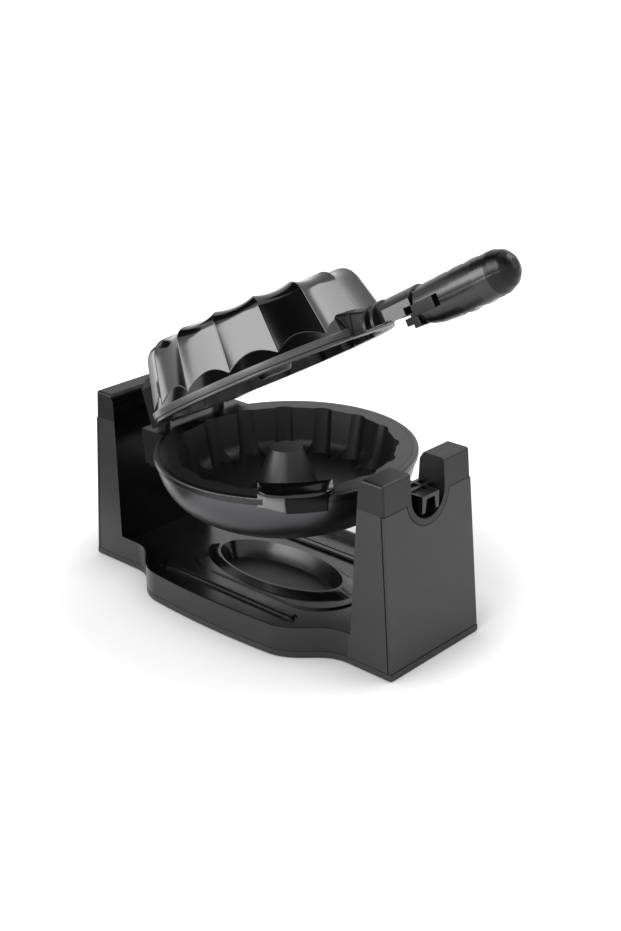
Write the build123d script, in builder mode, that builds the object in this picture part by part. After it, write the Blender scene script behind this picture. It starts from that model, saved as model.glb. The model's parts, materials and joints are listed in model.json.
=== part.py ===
"""Countertop cake maker: a round cooker that turns over on a shaft between two pillars.

Frame: X runs along the stand from the hinge side to the handle side, -Y is the front,
+Z is up, and the origin is on the table under the middle of the stand. Millimetres.
The lid is drawn shut, on top of the bowl, and each of its pieces is then swung open.
"""
from math import atan2, cos, degrees, radians, sin, tan
import os

from build123d import *

os.makedirs("parts", exist_ok=True)

# Walls, seams and clearances
WALL = 2.5
SEAM_GAP = 0.5
RUNNING = 0.05
PARTING = 0.3
BEYOND = 5.0

# Bowl
BOWL_X = 16.2
BOWL_RADIUS = 113.8
BOWL_DEPTH = 64.0
BOWL_WALL = 2.2
BOWL_LEAN = 4.3
BOWL_DISH = 3.0
BOWL_ROUND = 50.0
RING_LIP = 1.9
RING_RADIUS = BOWL_RADIUS + RING_LIP
RING_HEIGHT = 7.0
RING_SHELF = 5.2
RING_ROUND = 1.8

# Stand, which is as long and as high as the turning bowl needs
DECK = 21.0
TURNING_CLEAR = 10.3
AXIS = DECK + RING_RADIUS + TURNING_CLEAR
PILLAR_CLEAR = 9.0
PILLAR_FOOT = 46.0
LEFT_PILLAR_FOOT = 37.8
RIGHT_INNER = BOWL_X + BOWL_RADIUS + PILLAR_CLEAR
STAND_LENGTH = 2 * (RIGHT_INNER + PILLAR_FOOT)
LEFT_INNER = STAND_LENGTH / 2 - LEFT_PILLAR_FOOT
STAND_WIDTH = 116.8
END_DRAFT = 4.15
FRONT_DRAFT = 0.85
LEFT_DRAFT = 0.8
RIGHT_DRAFT = 3.1
SEAM = AXIS - 3.4
STAND_TOP = AXIS + 22.6
CAP_ROUND = 2.5
CAP_CHAMFER = 8.0
CAP_CHAMFER_HIGH = 4.5
CAP_CHAMFER_WIDE = 6.5
END_GROOVE = 0.8
LIP_DEPTH = 5.0
LIP_THICK = 2.0

# Bottom cover, feet and screws
PLINTH = 1.2
PLINTH_INSET = 7.0
COVER_FLOOR = 3.2
COVER_TOP = 7.0
FOOT_X = STAND_LENGTH / 2 - 25.0
FOOT_Y = STAND_WIDTH / 2 - 16.4
FOOT_RADIUS = 9.0
FOOT_THICK = 2.2
SCREW_RADIUS = 1.6
SCREW_HEAD = 3.2
SCREW_HEAD_HEIGHT = 0.9
SCREW_LENGTH = 11.0
BOSS_RADIUS = 4.0
GLAND_X = 21.0 - STAND_LENGTH / 2
GLAND_Z = 24.0
GLAND_RADIUS = 6.0
GLAND_FLANGE = 8.5
GLAND_LIP = 2.0
GLAND_BORE = 3.4
TERMINAL_X = 20.0 - STAND_LENGTH / 2
TERMINAL_Y = -10.0
TERMINAL_WIDTH = 16.0
TERMINAL_LENGTH = 44.0
TERMINAL_HEIGHT = 15.0
TERMINAL_WAYS = 4
TERMINAL_PITCH = 10.0
TERMINAL_HOLE = 2.2
TERMINAL_HOLE_DEPTH = 8.0

# Tray between the pillars
TRAY_RIM = 28.6
TRAY_MIDDLE = 5.0
BULGE_DEPTH = 34.8
BULGE_CROWN = 3.0
BULGE_FOOT = RIGHT_INNER - 6.0
BULGE_HALF = BULGE_FOOT - 62.0
BULGE_TURN = 0.12
RIM_WIDTH = 3.0
TRAY_END = STAND_LENGTH / 2 - 27.0
WELL_HALF = 70.0
WELL_SIDE = 33.5
WELL_LIP = 27.4
WELL_FLOOR = 11.5
WELL_DRAW_IN = 6.0
WELL_LIP_WIDTH = 2.0
APRON_HALF = 93.0
APRON_SIDE = 42.0
APRON_STEP = 1.6
CONE_HALF = WELL_HALF + 16.0
CONE_SIDE = WELL_SIDE + 7.0
RIB_MIDDLE = TRAY_MIDDLE - 9.0
RIB_HALF = 81.0
RIB_Y = 58.0
RIB_WIDTH = 5.0
RIB_HEIGHT = 3.0
RIB_DRAFT = 8.0
GROOVE_WIDTH = 3.0
GROOVE_DEPTH = 1.2
COVER_SCREW_X = BULGE_FOOT - 10.5
SCREW_SPOTS = [(TRAY_MIDDLE + turn * COVER_SCREW_X, way * (STAND_WIDTH / 2 - 12.4))
               for turn in (-1, 1) for way in (-1, 1)]
SCREW_SPOTS += [(TRAY_MIDDLE, way * (STAND_WIDTH / 2 + BULGE_DEPTH - 13.2)) for way in (-1, 1)]

# Plates with the ring mould, and the heaters under them
FLANGE_OUT = BOWL_RADIUS - 3.2
FLANGE_THICK = 2.4
FLANGE_GAP = 0.3
MOULD_RADIUS = FLANGE_OUT - 14.6
MOULD_DEPTH = 42.0
MOULD_DRAFT = 12.0
MOULD_ROUND = 17.0
MOULD_WALL = 2.6
MOULD_FLUTES = 16
MOULD_FLUTE_RADIUS = 13.0
MOULD_FLUTE_DEPTH = 2.8
MOULD_HEEL = 3.0
CONE_FOOT = 30.0
CONE_TOP = 14.0
CONE_DIP = 1.0
CONE_ROUND = 7.0
HEATER_RADIUS = MOULD_RADIUS - 36.0
HEATER_TUBE = 3.2
HEATER_SIDES = 8
HEATER_GAP = 70.0
HEATER_BED = 6.0
HEATER_BED_HEIGHT = 3.0
THERMOSTAT_Y = HEATER_RADIUS - 17.0
THERMOSTAT_RADIUS = 8.0
THERMOSTAT_CAN = 6.5
THERMOSTAT_STEP = 4.0
TAB_PITCH = 7.0
TAB_LENGTH = 3.0
FUSE_LENGTH = 22.0
FUSE_RADIUS = 2.2
FUSE_CLIP = 16.0
FUSE_CLIP_WIDTH = 7.0
FUSE_CLIP_THICK = 2.0

# Lid
LID_OPEN = 29.9
LID_RADIUS = RING_RADIUS - 4.1
LID_RING_HEIGHT = 9.0
LID_GROOVE = 1.0
LID_BEAD = 2.4
LID_BAND = 3.3
LID_BAND_INSET = 1.8
DOME_FOOT = LID_RADIUS - 2.0
DOME_DRAFT = 14.5
DOME_HEIGHT = 65.0
DOME_SHOULDER = 15.0
DOME_CROWN = 3.0
DOME_WALL = 2.6
FLUTES = 16
FLUTE_TURN = 6.7
FLUTE_RADIUS = 52.0
FLUTE_DEPTH = 4.2
FLUTE_FADE = 4.0
FLUTE_RUN = 90.0
FADE_LENGTH = 55.0
SKIRT_FOOT = LID_RADIUS - 0.4
SKIRT_HEIGHT = 11.0
SKIRT_SLOPE = 0.75
UPPER_FLANGE = LID_RADIUS - 4.1
PLATE_SEAT = 1.2
PLATE_SCREW = 6.0
PLATE_SCREWS_AT = UPPER_FLANGE - 2.3
PLATE_SCREW_RADIUS = 1.2
PLATE_SCREW_HEAD = 2.0

# Hinge
BRACKET_REACH = 15.4
BRACKET_LEFT = BOWL_X - BOWL_RADIUS - BRACKET_REACH
BRACKET_INSIDE = BRACKET_LEFT + 53.0
BRACKET_LEAN = 2.8
BRACKET_SIDE = 54.0
BRACKET_DEPTH = 40.0
BRACKET_CORNER = 7.0
BRACKET_WALL = 2.5
HINGE_X = BRACKET_LEFT + 7.7
HINGE_Z = AXIS + 13.8
UPPER_BRACKET = 44.0
UPPER_BRACKET_LEAN = 8.4
UPPER_BRACKET_CORNER = 8.0
PIN_RADIUS = 2.5
PIN_HALF = 47.0
PIN_CHAMFER = 0.5
EAR_RADIUS = 5.0
EAR_Y = 34.0
EAR_WIDTH = 6.0
EAR_CLEAR = 1.2
KNUCKLE_WIDTH = 8.0
KNUCKLE_GAP = 0.5
KNUCKLE_RADIUS = EAR_RADIUS + 0.5

# Turning shaft on the hinge side
SHAFT_RADIUS = 8.0
SHAFT_BORE = 4.5
HUB_PLATE = 3.5
HUB_HALF = 24.0
HUB_DROP = 34.0
HUB_SCREW_Y = 17.0
HUB_SCREW_DROPS = (9.0, 26.0)
HUB_SCREW_LENGTH = 9.5
HUB_SCREW_HEAD = 2.0
HUB_FACE = BRACKET_LEFT - HUB_PLATE
THRUST_RADIUS = 11.0
THRUST_WIDTH = 3.6
THRUST_GAP = 2.4
BEARING_RADIUS = 12.5
BEARING_FLANGE = 14.3
BEARING_LIP = 2.2
BEARING_BACK = 2.5
BEARING_TAIL = 8.0
CLIP_RADIUS = 11.0
CLIP_WIDTH = 1.6
CLIP_GROOVE = 1.0
CLIP_GAP = 0.25
CLIP_MOUTH = 5.5
SHAFT_PAST_CLIP = 6.2

# Shaft halves on the handle side
NOTCH_RADIUS = 21.5
COLLAR_RADIUS = 27.0
HALF_SIDE = 10.7
HALF_DROP = 15.0
HALF_END = STAND_LENGTH / 2 - 8.0
HALF_TOP = 4.5
HALF_END_PLATE = 3.0
HALF_WELL = 2.0
FLANGE_RADIUS = 18.6
FLANGE_PITCH = 9.5
FLANGE_WIDTH = 3.0
CRADLE_INSET = 1.5
CRADLE_MARGIN = 1.0
CRADLE_LENGTH = FLANGE_PITCH + FLANGE_WIDTH + 2 * CRADLE_MARGIN
CRADLE_ANGLE = 62.0
BOLT_WAY_TOP = 3.4
BOLT_WAY_HALF = 5.0
BOLT_WAY_SPLAY = 2.0

# Arm and handle, with heights from the turning axis
ARM_SIDE = 10.0
ARM_ROOT = BOWL_X + LID_RADIUS - 19.8
ARM_BEND = ARM_ROOT + 11.5
ARM_LEVEL = ARM_ROOT + 38.0
ARM_HIGH = 23.0
ARM_TOP = 16.3
ARM_LOW = 2.6
ARM_CHAMFER = 1.6
BRACE_PROUD = 0.8
BRACE_FROM = 14.0
BRACE_POINTS = ((0, 19), (2.5, 19), (6, 7), (9.5, 19), (12, 19), (7.5, 3.4), (4.5, 3.4))
NECK_START = HALF_END - 5.5
NECK_LENGTH = 30.5
NECK_END = NECK_START + NECK_LENGTH
NECK_DROP = 2.0
NECK_SIDE = 15.5
NECK_SHOULDER = 9.5
NECK_TOP = 17.6
NECK_POCKET = (6.0, 13.0)
NECK_POCKET_TOP = 12.0
NECK_SCREW_Y = 4.2
NECK_SCREW_Z = 8.5
NECK_SCREW_RADIUS = 1.3
NECK_SCREW_HEAD = 2.4
NECK_SCREW_HEAD_HEIGHT = 1.5
NECK_SCREW_LENGTH = 12.0
SPIGOT_LOW = 5.5
SPIGOT_TOP = 13.0
SPIGOT_SIDE = 8.0
SPIGOT_LENGTH = 18.0
GRIP_GAP = 2.6
GRIP_START = NECK_END + GRIP_GAP
GRIP_LENGTH = 91.9
GRIP_SCREWS = (33.4, 71.4)
GRIP_SCREW_DEPTH = 12.0
GRIP_SCREW_HEAD_WAY = 3.4
GRIP_CORE = (41.4, 63.4)
GRIP_CORE_SIDE = 10.0
SCALLOPS = 4
SCALLOP_FIRST = 17.0
SCALLOP_PITCH = 16.5
SCALLOP_RADIUS = 16.0
SCALLOP_DEPTH = 1.1
GRIP_TOP = 16.4
GRIP_BELLY = 19.4
SLOT_UP = 3.7
SLOT_DOWN = 5.7
TONGUE_START = NECK_END - 2.0
TONGUE_LENGTH = 24.0
TONGUE_UP = 3.5
TONGUE_DOWN = 5.6
TONGUE_ROUND = 1.5
SLIDE_TRAVEL = 5.5
SLOT_PAST_TONGUE = 6.5
SLIDER_CLEAR = 1.0
SLIDER_FOOT = 5.0
SLIDER_FOOT_DOWN = 14.0
BOLT_HIGH = 4.0
BOLT_LOW = 10.0
BOLT_HALF = 4.4
BOLT_GAP = 4.0

# Front catch for the lower plate
CATCH_TURN = -44.0
CATCH_SPAN = 19.5
CATCH_DEPTH = 15.0
CATCH_TRAVEL = 3.5
CATCH_FLOOR = 2.2
CATCH_BLOCK_TURN = -9.0
CATCH_BLOCK_HALF = 6.5
SCOOP_TURN = 6.5
SCOOP_HALF = 9.5
SCOOP_RADIUS = 14.0
SCOOP_REACH = 9.0
SCOOP_DRAFT = 12.0
SCOOP_DEPTH = 14.0
HOUSING_IN = BOWL_RADIUS - 5.8
HOUSING_OUT = RING_RADIUS + 4.3
WEB_IN = RING_RADIUS + 1.6
WEB_OUT = RING_RADIUS + 5.3
WEB_HALF = 8.8
CRESCENT_IN = BOWL_RADIUS - 1.2
CRESCENT_OUT = CRESCENT_IN + 15.4
CRESCENT_HEIGHT = 8.2
CRESCENT_ROUND = 2.2
TONGUE_REACH = 3.1
TONGUE_THICK = 1.4
TONGUE_WIDTH = 22.0
TONGUE_PLAY = 0.1

LID_SWING = (Pos(HINGE_X, 0, HINGE_Z) * Rot(0, -LID_OPEN, 0) * Pos(-HINGE_X, 0, -HINGE_Z))


def outer_x(z):
    """Half length of the stand at a height."""
    return STAND_LENGTH / 2 - z * tan(radians(END_DRAFT))


def side_y(z):
    """Half width of the pillars at a height."""
    return STAND_WIDTH / 2 - z * tan(radians(FRONT_DRAFT))


def inner_x(side, z):
    """Distance of a pillar's inner face from the middle; side is -1 left or +1 right."""
    if side < 0:
        return LEFT_INNER + z * tan(radians(LEFT_DRAFT))
    return RIGHT_INNER + z * tan(radians(RIGHT_DRAFT))


def save(piece, name, swing=False):
    """Name a finished piece and write it; a lid piece is swung open first."""
    solid = piece.moved(LID_SWING) if swing else piece
    solid.label = name
    export_step(solid, f"parts/{name}.step")


def pillar_block(side, low, high, inset=0.0, end_inset=None):
    """Tapered block that fills a pillar between two heights, drawn in by the inset."""
    end_inset = inset if end_inset is None else end_inset
    with BuildPart() as block:
        for z in (low, high):
            near = inner_x(side, z) + inset
            far = outer_x(z) - end_inset
            with BuildSketch(Plane.XY.offset(z)):
                with Locations((side * (near + far) / 2, 0)):
                    Rectangle(far - near, 2 * (side_y(z) - inset))
        loft(ruled=True)
    return block.part


def tray_outline(inset=0.0, end=STAND_LENGTH / 2):
    """Plan of the tray, whose front and back swell outwards between the pillars."""
    half_width = STAND_WIDTH / 2 - inset
    half_length = end - inset
    deep = half_width + BULGE_DEPTH
    shoulder = deep - BULGE_CROWN
    with BuildSketch() as plan:
        with BuildLine():
            first = Spline(
                (TRAY_MIDDLE - BULGE_FOOT, -half_width),
                (TRAY_MIDDLE - (BULGE_FOOT + BULGE_HALF) / 2 + 1, -(half_width + shoulder) / 2),
                (TRAY_MIDDLE - BULGE_HALF, -shoulder),
                tangents=[(1, 0), (1, -BULGE_TURN)],
            )
            crown = ThreePointArc(first @ 1, (TRAY_MIDDLE, -deep), (TRAY_MIDDLE + BULGE_HALF, -shoulder))
            second = Spline(
                crown @ 1,
                (TRAY_MIDDLE + (BULGE_FOOT + BULGE_HALF) / 2 - 1, -(half_width + shoulder) / 2),
                (TRAY_MIDDLE + BULGE_FOOT, -half_width),
                tangents=[(1, BULGE_TURN), (1, 0)],
            )
            Polyline(second @ 1, (half_length, -half_width), (half_length, 0))
            Polyline(first @ 0, (-half_length, -half_width), (-half_length, 0))
            mirror(about=Plane.XZ)
        make_face()
    return plan.sketch


def end_slab(side, low, high, thick):
    """Slab of a pillar's outer end, leaning with it."""
    with BuildPart() as slab:
        for z in (low, high):
            with BuildSketch(Plane.XY.offset(z)):
                with Locations((side * (outer_x(z) - thick / 2), 0)):
                    Rectangle(thick, 2 * side_y(z))
        loft(ruled=True)
    return slab.part


def end_lip(side, inset):
    """Block behind an end cover that fits inside the pillar's walls."""
    with BuildPart() as block:
        for z in (COVER_TOP, SEAM - 2 * WALL):
            far = outer_x(z) - WALL
            with BuildSketch(Plane.XY.offset(z)):
                with Locations((side * (far - LIP_DEPTH / 2), 0)):
                    Rectangle(LIP_DEPTH, 2 * (side_y(z) - inset))
        loft(ruled=True)
    return block.part


def on_axis(x):
    """Plane square to the turning axis at a distance along it, with its Y up."""
    return Plane(origin=(x, 0, AXIS), x_dir=(0, 1, 0), z_dir=(1, 0, 0))


def catch_plane(height):
    """Plane at a height whose X runs out from the bowl's middle through the catch."""
    turn = radians(CATCH_TURN)
    return Plane(origin=(BOWL_X, 0, height), x_dir=(cos(turn), sin(turn), 0), z_dir=(0, 0, 1))


def axis_disc(radius, x_low, x_high):
    """Cylinder along the turning axis."""
    with BuildPart() as disc:
        with BuildSketch(on_axis(x_low)):
            Circle(radius)
        extrude(amount=x_high - x_low)
    return disc.part


def bore(side, radius):
    """Cylinder along the turning axis right through the left (-1) or right (+1) pillar."""
    near = side * (inner_x(side, 0) - 2 * BEYOND)
    far = side * (outer_x(0) + BEYOND)
    return axis_disc(radius, min(near, far), max(near, far))


# Stand: the moulding with both pillars and the tray
with BuildPart() as base_housing:
    for z in (COVER_TOP, TRAY_RIM):
        with BuildSketch(Plane.XY.offset(z)):
            add(tray_outline(z * tan(radians(FRONT_DRAFT)), TRAY_END))
    loft(ruled=True)
    with BuildSketch(Plane.XY.offset(DECK)):
        add(tray_outline(RIM_WIDTH, TRAY_END))
    extrude(amount=TRAY_RIM - DECK, mode=Mode.SUBTRACT)
    # Apron that rises from the deck to the lip of the oval well
    with BuildSketch(Plane.XY.offset(DECK)):
        with Locations((TRAY_MIDDLE, 0)):
            SlotOverall(2 * APRON_HALF, 2 * APRON_SIDE)
    extrude(amount=APRON_STEP)
    with BuildSketch(Plane.XY.offset(DECK + APRON_STEP)):
        with Locations((TRAY_MIDDLE, 0)):
            Ellipse(CONE_HALF, CONE_SIDE)
    with BuildSketch(Plane.XY.offset(WELL_LIP)):
        with Locations((TRAY_MIDDLE, 0)):
            Ellipse(WELL_HALF + WELL_LIP_WIDTH, WELL_SIDE + WELL_LIP_WIDTH)
    loft()
    # Raised rib and the shallow groove round it, front and back
    for way in (-1, 1):
        with BuildSketch(Plane.XY.offset(DECK)):
            with Locations((RIB_MIDDLE, way * (RIB_Y + GROOVE_WIDTH / 2))):
                SlotOverall(2 * (RIB_HALF + GROOVE_WIDTH), RIB_WIDTH + 3 * GROOVE_WIDTH)
        extrude(amount=-GROOVE_DEPTH, mode=Mode.SUBTRACT)
        with BuildSketch(Plane.XY.offset(DECK - GROOVE_DEPTH)):
            with Locations((RIB_MIDDLE, way * RIB_Y)):
                SlotOverall(2 * RIB_HALF, RIB_WIDTH)
        extrude(amount=GROOVE_DEPTH + RIB_HEIGHT, taper=RIB_DRAFT)
    for side in (-1, 1):
        add(pillar_block(side, COVER_TOP, SEAM))
    # Hollow underside, left thick round the well
    with BuildSketch(Plane.XY.offset(COVER_TOP)) as underside:
        add(tray_outline(WALL, TRAY_END + 2 * WALL))
        with Locations((TRAY_MIDDLE, 0)):
            Ellipse(WELL_HALF + WALL, WELL_SIDE + WALL, mode=Mode.SUBTRACT)
    extrude(amount=DECK - GROOVE_DEPTH - WALL - COVER_TOP, mode=Mode.SUBTRACT)
    with BuildSketch(Plane.XY.offset(COVER_TOP)):
        with Locations((TRAY_MIDDLE, 0)):
            Ellipse(WELL_HALF + WALL, WELL_SIDE + WALL)
    extrude(amount=WELL_FLOOR - WALL - COVER_TOP, mode=Mode.SUBTRACT)
    for z, inset in ((WELL_FLOOR, WELL_DRAW_IN), (WELL_LIP, 0)):
        with BuildSketch(Plane.XY.offset(z)):
            with Locations((TRAY_MIDDLE, 0)):
                Ellipse(WELL_HALF - inset, WELL_SIDE - inset)
    loft(mode=Mode.SUBTRACT)
    # Pillars are open boxes whose ends are closed by separate covers
    for side in (-1, 1):
        add(pillar_block(side, COVER_TOP, SEAM, WALL, -WALL), mode=Mode.SUBTRACT)
        add(end_slab(side, COVER_TOP - 1, SEAM + 1, WALL + END_GROOVE), mode=Mode.SUBTRACT)
    # Bosses for the screws of the bottom cover
    with BuildSketch(Plane.XY.offset(COVER_FLOOR)):
        with Locations(*SCREW_SPOTS):
            Circle(BOSS_RADIUS)
            Circle(SCREW_RADIUS, mode=Mode.SUBTRACT)
    extrude(amount=DECK - GROOVE_DEPTH - WALL - COVER_FLOOR)
    add(bore(1, COLLAR_RADIUS + SEAM_GAP), mode=Mode.SUBTRACT)
    add(bore(-1, BEARING_RADIUS), mode=Mode.SUBTRACT)
    with BuildSketch(Plane.XZ.offset(-STAND_WIDTH)):
        with Locations((GLAND_X, GLAND_Z)):
            Circle(GLAND_RADIUS)
    extrude(amount=STAND_WIDTH, mode=Mode.SUBTRACT)
save(base_housing.part, "base_housing")

# Plastic panel over the outer end of each pillar, with a lip that locates it
for side, name in ((-1, "left_end_cover"), (1, "right_end_cover")):
    with BuildPart() as end_cover:
        add(end_slab(side, COVER_TOP, SEAM - SEAM_GAP, WALL))
        add(end_lip(side, WALL))
        add(end_lip(side, WALL + LIP_THICK), mode=Mode.SUBTRACT)
        if side > 0:
            add(bore(1, COLLAR_RADIUS + SEAM_GAP), mode=Mode.SUBTRACT)
    save(end_cover.part, name)


def cap_hollow(side, way):
    """Pocket inside the front (-1) or back (+1) half of a pillar's cap."""
    keep_out = COLLAR_RADIUS if side > 0 else 0
    with BuildPart() as pocket:
        add(pillar_block(side, SEAM - 1, STAND_TOP - CAP_CHAMFER, WALL))
        with BuildSketch(Plane.XY.offset(SEAM - 2)):
            with Locations((side * outer_x(SEAM), way * (keep_out + STAND_WIDTH / 2))):
                Rectangle(STAND_WIDTH, STAND_WIDTH)
        extrude(amount=2 * (STAND_TOP - SEAM), mode=Mode.INTERSECT)
    return pocket.part


collar = pillar_block(1, SEAM - COLLAR_RADIUS, SEAM) & bore(1, COLLAR_RADIUS)

# Caps on the pillars; the right one carries the open notch that the shaft turns in
for side, name in ((-1, "left_pillar_cap"), (1, "right_pillar_cap")):
    face = inner_x(side, SEAM)
    with BuildPart() as cap:
        add(pillar_block(side, SEAM, STAND_TOP))
        top_edges = cap.edges().group_by(Axis.Z)[-1]
        upright = cap.edges().filter_by(lambda e: abs(e.tangent_at(0.5).Z) > 0.9)
        outer = upright.filter_by(lambda e: abs(e.center().X) > (face + outer_x(SEAM)) / 2)
        fillet(top_edges.filter_by(lambda e: abs(e.center().X) > face + CAP_CHAMFER) + outer, CAP_ROUND)
        with BuildSketch(Plane.XZ.offset(-STAND_WIDTH)):
            with BuildLine():
                Polyline(
                    (side * (face - BEYOND), STAND_TOP - CAP_CHAMFER - CAP_CHAMFER_HIGH - 3),
                    (side * (face + CAP_CHAMFER_WIDE), STAND_TOP + BEYOND / 2),
                    (side * (face - BEYOND), STAND_TOP + BEYOND / 2),
                    close=True,
                )
            make_face()
        extrude(amount=2 * STAND_WIDTH, mode=Mode.SUBTRACT)
        if side > 0:
            add(collar)
            add(bore(1, NOTCH_RADIUS), mode=Mode.SUBTRACT)
            with BuildSketch(Plane.XY.offset(AXIS)):
                with Locations((outer_x(SEAM), 0)):
                    Rectangle(STAND_WIDTH, 2 * NOTCH_RADIUS)
            extrude(amount=2 * (STAND_TOP - AXIS), mode=Mode.SUBTRACT)
        for way in (-1, 1):
            add(cap_hollow(side, way), mode=Mode.SUBTRACT)
        if side < 0:
            add(bore(-1, BEARING_RADIUS), mode=Mode.SUBTRACT)
    save(cap.part, name)

# Bottom cover: a low plinth that stands on the table, a floor and a side wall
with BuildPart() as bottom_cover:
    with BuildSketch():
        add(tray_outline(PLINTH_INSET))
    extrude(amount=COVER_FLOOR)
    for z in (PLINTH, COVER_TOP - SEAM_GAP):
        with BuildSketch(Plane.XY.offset(z)):
            add(tray_outline(z * tan(radians(FRONT_DRAFT))))
    loft(ruled=True)
    with BuildSketch(Plane.XY.offset(COVER_TOP - SEAM_GAP)):
        add(tray_outline(WALL / 2))
    extrude(amount=SEAM_GAP)
    with BuildSketch(Plane.XY.offset(COVER_FLOOR)):
        add(tray_outline(WALL))
    extrude(amount=COVER_TOP, mode=Mode.SUBTRACT)
    with BuildSketch():
        with GridLocations(2 * FOOT_X, 2 * FOOT_Y, 2, 2):
            Circle(FOOT_RADIUS)
    extrude(amount=FOOT_THICK, mode=Mode.SUBTRACT)
    with Locations(*[Location((x, y, 0), (180, 0, 0)) for x, y in SCREW_SPOTS]):
        CounterBoreHole(SCREW_RADIUS, SCREW_HEAD + SEAM_GAP, PLINTH)
save(bottom_cover.part, "bottom_cover")

# Four round rubber pads let into the plinth
with BuildPart() as rubber_feet:
    with BuildSketch():
        with GridLocations(2 * FOOT_X, 2 * FOOT_Y, 2, 2):
            Circle(FOOT_RADIUS)
    extrude(amount=FOOT_THICK)
save(rubber_feet.part, "rubber_feet")


def screw(radius, head_radius, head_height, length):
    """Pan head screw that points up, with its head's seat at the origin."""
    with BuildPart() as piece:
        with BuildSketch():
            Circle(head_radius)
        extrude(amount=-head_height)
        with BuildSketch():
            Circle(radius)
        extrude(amount=length)
    return piece.part


# Screws that hold the bottom cover to the bosses of the moulding
with BuildPart() as base_screws:
    with Locations(*[(x, y, PLINTH) for x, y in SCREW_SPOTS]):
        add(screw(SCREW_RADIUS, SCREW_HEAD, SCREW_HEAD_HEIGHT, SCREW_LENGTH))
save(base_screws.part, "base_screws")

# Rubber bush for the mains lead in the back of the left pillar
gland_face = side_y(GLAND_Z - GLAND_FLANGE)
with BuildPart() as cord_gland:
    with BuildSketch(Plane.XZ.offset(-(gland_face - 2 * WALL))):
        with Locations((GLAND_X, GLAND_Z)):
            Circle(GLAND_RADIUS)
    extrude(amount=-2 * WALL)
    with BuildSketch(Plane.XZ.offset(-gland_face)):
        with Locations((GLAND_X, GLAND_Z)):
            Circle(GLAND_FLANGE)
    extrude(amount=-GLAND_LIP)
    with BuildSketch(Plane.XZ.offset(-(gland_face - 2 * WALL))):
        with Locations((GLAND_X, GLAND_Z)):
            Circle(GLAND_BORE)
    extrude(amount=-4 * WALL, mode=Mode.SUBTRACT)
save(cord_gland.part, "cord_gland")

# Terminal block on the floor of the left pillar
with BuildPart() as terminal_block:
    with BuildSketch(Plane.XY.offset(COVER_FLOOR)):
        with Locations((TERMINAL_X, TERMINAL_Y)):
            Rectangle(TERMINAL_WIDTH, TERMINAL_LENGTH)
    extrude(amount=TERMINAL_HEIGHT)
    with Locations((TERMINAL_X, TERMINAL_Y, COVER_FLOOR + TERMINAL_HEIGHT)):
        with GridLocations(0, TERMINAL_PITCH, 1, TERMINAL_WAYS):
            Hole(TERMINAL_HOLE, TERMINAL_HOLE_DEPTH)
save(terminal_block.part, "terminal_block")

# Flanged bearing for the turning shaft, gripped between the left pillar and its cap
wall_face = inner_x(-1, AXIS - BEARING_FLANGE)
wall_back = inner_x(-1, AXIS + BEARING_FLANGE) + WALL
with BuildPart() as trunnion_bearing:
    add(axis_disc(BEARING_FLANGE - BEARING_LIP / 2, -wall_face, -wall_face + BEARING_LIP))
    add(axis_disc(BEARING_FLANGE, -wall_back - BEARING_BACK, -wall_back))
    add(axis_disc(BEARING_RADIUS, -wall_back - BEARING_TAIL, -wall_face))
    add(bore(-1, SHAFT_RADIUS + RUNNING), mode=Mode.SUBTRACT)
save(trunnion_bearing.part, "trunnion_bearing")

# Saddle that lines the bottom of the notch and carries the shaft halves
cradle_start = inner_x(1, AXIS) + CRADLE_INSET
half_disc_starts = [cradle_start + CRADLE_MARGIN + number * FLANGE_PITCH for number in (0, 1)]
with BuildPart() as shaft_cradle:
    with BuildSketch(on_axis(cradle_start)):
        Circle(NOTCH_RADIUS)
        Circle(FLANGE_RADIUS + RUNNING, mode=Mode.SUBTRACT)
        with BuildLine() as wedge:
            reach = 2 * NOTCH_RADIUS
            spread = radians(CRADLE_ANGLE)
            Polyline((0, 0), (reach * sin(spread), -reach * cos(spread)), (0, -2 * reach),
                     (-reach * sin(spread), -reach * cos(spread)), close=True)
        make_face(mode=Mode.INTERSECT)
    extrude(amount=CRADLE_LENGTH)
save(shaft_cradle.part, "shaft_cradle")


def revolved(points, rounds=()):
    """Solid turned about the bowl's middle from radius and height points; rounds are
    pairs of a point's number and the radius that rounds it."""
    with BuildPart() as turned:
        with BuildSketch(Plane.XZ) as section:
            with BuildLine():
                Polyline(*points, close=True)
            make_face()
            for number, radius in rounds:
                spot = Vector(points[number][0], points[number][1])
                corner = section.vertices().sort_by(lambda v: (Vector(v.X, v.Y) - spot).length)[0]
                fillet(corner, radius)
        revolve(axis=Axis.Z)
    return turned.part.moved(Pos(BOWL_X, 0, 0))


bowl_low = AXIS - BOWL_DEPTH
ring_low = AXIS - RING_HEIGHT
ring_top = AXIS - PARTING
bowl_points = [(0, bowl_low), (BOWL_RADIUS - BOWL_LEAN, bowl_low + BOWL_DISH), (BOWL_RADIUS, ring_low),
               (0, ring_low)]
hollow_points = [(0, bowl_low + BOWL_WALL),
                 (BOWL_RADIUS - BOWL_LEAN - BOWL_WALL, bowl_low + BOWL_DISH + BOWL_WALL),
                 (BOWL_RADIUS - BOWL_WALL, ring_low + BEYOND), (0, ring_low + BEYOND)]
bowl_solid = revolved(bowl_points, [(1, BOWL_ROUND)])
bowl_hollow = revolved(hollow_points, [(1, BOWL_ROUND - BOWL_WALL)])
shelf_out = BOWL_RADIUS - BOWL_WALL
ring_inner = FLANGE_OUT + FLANGE_GAP
ring_solid = revolved(
    [(shelf_out, ring_low), (RING_RADIUS, ring_low), (RING_RADIUS, ring_top), (ring_inner, ring_top),
     (ring_inner, ring_top - FLANGE_THICK), (shelf_out - RING_SHELF + BOWL_WALL, ring_top - FLANGE_THICK),
     (shelf_out - RING_SHELF + BOWL_WALL, ring_low)],
    [(2, RING_ROUND), (1, RING_ROUND)],
)
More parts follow.
